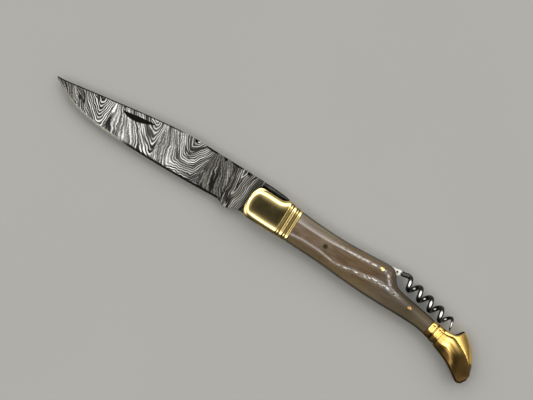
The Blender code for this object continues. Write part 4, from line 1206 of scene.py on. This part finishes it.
def pin_top(centre, radius, surface, dome):
    """Rings of a pin's slightly domed end, which follows a surface and has a broken edge."""
    radial = np.concatenate([np.linspace(0.02, 0.86, 9), [0.93, 0.98, 1]])
    turn = np.linspace(0, 2 * pi, 40, endpoint=False)
    rim = np.stack([np.cos(turn), np.sin(turn)], 1)
    spots = np.array(centre) + radius * radial[:, None, None] * rim[None]
    height = surface(spots) + dome * (1 - radial[:, None] ** 2) - 0.08 * (radial[:, None] > 0.97)
    return np.concatenate([spots, height[..., None]], 2)


def through(top):
    """A pin with the same end on both sides."""
    return np.concatenate([top, mirrored(top)[::-1]])


def from_liner(top):
    """A pin that starts at the liner's inner face."""
    foot = top[-1:].copy()
    foot[..., 2] = LINER_INNER
    return np.concatenate([top, foot])


def build_pins():
    # The scale pins' darkened brass is painted shade.
    for pin, centre, material in (("front", PIN_A, BRASS_DEEP_SHADE), ("rear", PIN_C, BRASS_HALF_SHADE)):
        rings = from_liner(pin_top(centre, PIN_RADIUS, scale_height, 0.05))
        both_sides(f"scale_pin_{pin}", rings, material, "brass", None, 50, left_flip=False)
    rings = through(pin_top(PIN_B, PIN_RADIUS, scale_height, 0.06))
    fit(loft("corkscrew_pin_shaped", rings, BRASS_PIN, None, 50), "handle", "brass", "corkscrew_pin")


def colour_hidden_pins():
    """The pins and rivets that the bolsters hide keep the frame's meshes."""
    hidden = {"blade_pivot_pin": BRASS, "spring_rear_pin": BRASS, "spring_middle_pin": SPRING_STEEL}
    for side in ("left", "right"):
        hidden[f"front_bolster_rivet_{side}"] = BRASS
        hidden[f"rear_bolster_rivet_{side}"] = BRASS
    for name, material in hidden.items():
        mesh = frame["nodes"][name].data
        mesh.materials.clear()
        mesh.materials.append(material)


# ---- Setting


def build_floor():
    ground = Material("backdrop")
    grain = ground.noise(ground.place(), 1.1, 4, 0.6)
    cloud = ground.noise(ground.place(), 0.012, 3)
    tone = ground.mix(grain, (0.274, 0.271, 0.259, 1), (0.288, 0.285, 0.272, 1))
    # Painted shade: the cloud darkens the backdrop in broad patches, in place of light that falls unevenly.
    tone = ground.mix(ground.grey(cloud, [(0.3, 0), (0.7, 0.3)]), tone, (0.262, 0.254, 0.236, 1))
    mesh = bpy.data.meshes.new("backdrop")
    corners = [(x * FLOOR_HALF, y * FLOOR_HALF, 0) for x, y in ((-1, -1), (1, -1), (1, 1), (-1, 1))]
    mesh.from_pydata(corners, [], [(0, 1, 2, 3)])
    mesh.materials.append(ground.finish(Base_Color=tone, Roughness=0.8, Normal=ground.bump(grain, 0.02, 0.4)))
    floor = bpy.data.objects.new("backdrop", mesh)
    floor.location.z = -FLOOR_DROP
    bpy.context.scene.collection.objects.link(floor)


def build_light():
    """Soft light from all round, by its angle from overhead, with one profile on each side of the knife."""
    world = bpy.data.worlds.new("room")
    bpy.context.scene.world = world
    world.use_nodes = True
    sky = Nodes(world.node_tree)
    at = sky.node("ShaderNodeTexCoord", out="Generated")
    x, y, z = (sky.node("ShaderNodeSeparateXYZ", {0: at}, out=axis) for axis in "XYZ")
    from_top = sky.math("DIVIDE", sky.math("ARCCOSINE", sky.math("MINIMUM", z, 0.9999)), pi / 2)
    flat = sky.math("SQRT", sky.math("SUBTRACT", 1.0001, sky.times(z, z)))
    toward = sky.math("ADD", sky.times(x, TOWARDS_BACK[0]), sky.times(y, TOWARDS_BACK[1]))
    side = sky.math("MULTIPLY_ADD", sky.math("DIVIDE", toward, flat), 0.5, 0.5, clamp=True)
    levels = [sky.grey(from_top, [(angle / 90, level / BRIGHTEST) for angle, level in stops])
              for stops in (LIGHT_FRONT, LIGHT_BACK)]
    colour = sky.mix(1, sky.mix(side, *levels), LIGHT_TINT, "MULTIPLY")
    background = world.node_tree.nodes["Background"]
    sky.put(background.inputs[0], colour)
    background.inputs[1].default_value = BRIGHTEST


def place_camera():
    camera = bpy.data.cameras.new("camera")
    camera.sensor_width = SENSOR_WIDTH
    camera.lens = SENSOR_WIDTH * CAMERA_HEIGHT / VIEW_WIDTH
    camera.clip_start = 0.01
    camera.clip_end = 20
    holder = bpy.data.objects.new("camera", camera)
    holder.location = (*CAMERA_PLACE, CAMERA_HEIGHT + MID * MM)
    holder.rotation_euler = (0, 0, CAMERA_TURN)
    bpy.context.scene.collection.objects.link(holder)
    bpy.context.scene.camera = holder
    view = bpy.context.scene.view_settings
    view.view_transform = "Standard"
    view.look = "None"


for old in list(bpy.data.objects):
    bpy.data.objects.remove(old)
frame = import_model()

PATTERN = pattern_steel()
SPRING_STEEL = plain_steel("spring_steel", (0.015, 0.0147, 0.0137), 0.16)
LINER_STEEL = plain_steel("liner_steel", (0.38, 0.38, 0.37), 0.38)
# The worm's last colour is its painted highlight.
WORM_STEEL = plain_steel("worm_steel", (0.045, 0.044, 0.042), 0.16, (2, 2, 2), 0.25, (0.8, 0.79, 0.76))
TANG_STEEL = plain_steel("tang_steel", (0.5, 0.485, 0.44), 0.5, (1.5, 1.5, 1.5), 0.75)
BRASS = polished_brass("brass", (0.88, 0.7, 0.3))
BRASS_REAR = polished_brass("brass_rear", (0.87, 0.58, 0.18))
BRASS_PIN = polished_brass("brass_pin", (0.88, 0.66, 0.25), 0.2)
# Painted shade: the scale pins' brass is darkened, the front pin's nearly to black, for the dark it reflects.
BRASS_HALF_SHADE = polished_brass("brass_half_shade", (0.3, 0.2, 0.075), 0.2)
BRASS_DEEP_SHADE = polished_brass("brass_deep_shade", (0.035, 0.029, 0.012), 0.25)
HORN = horn()

build_covers()
build_plates()
build_pad()
build_blade()
build_corkscrew()
build_pins()
colour_hidden_pins()

build_floor()
build_light()
place_camera()
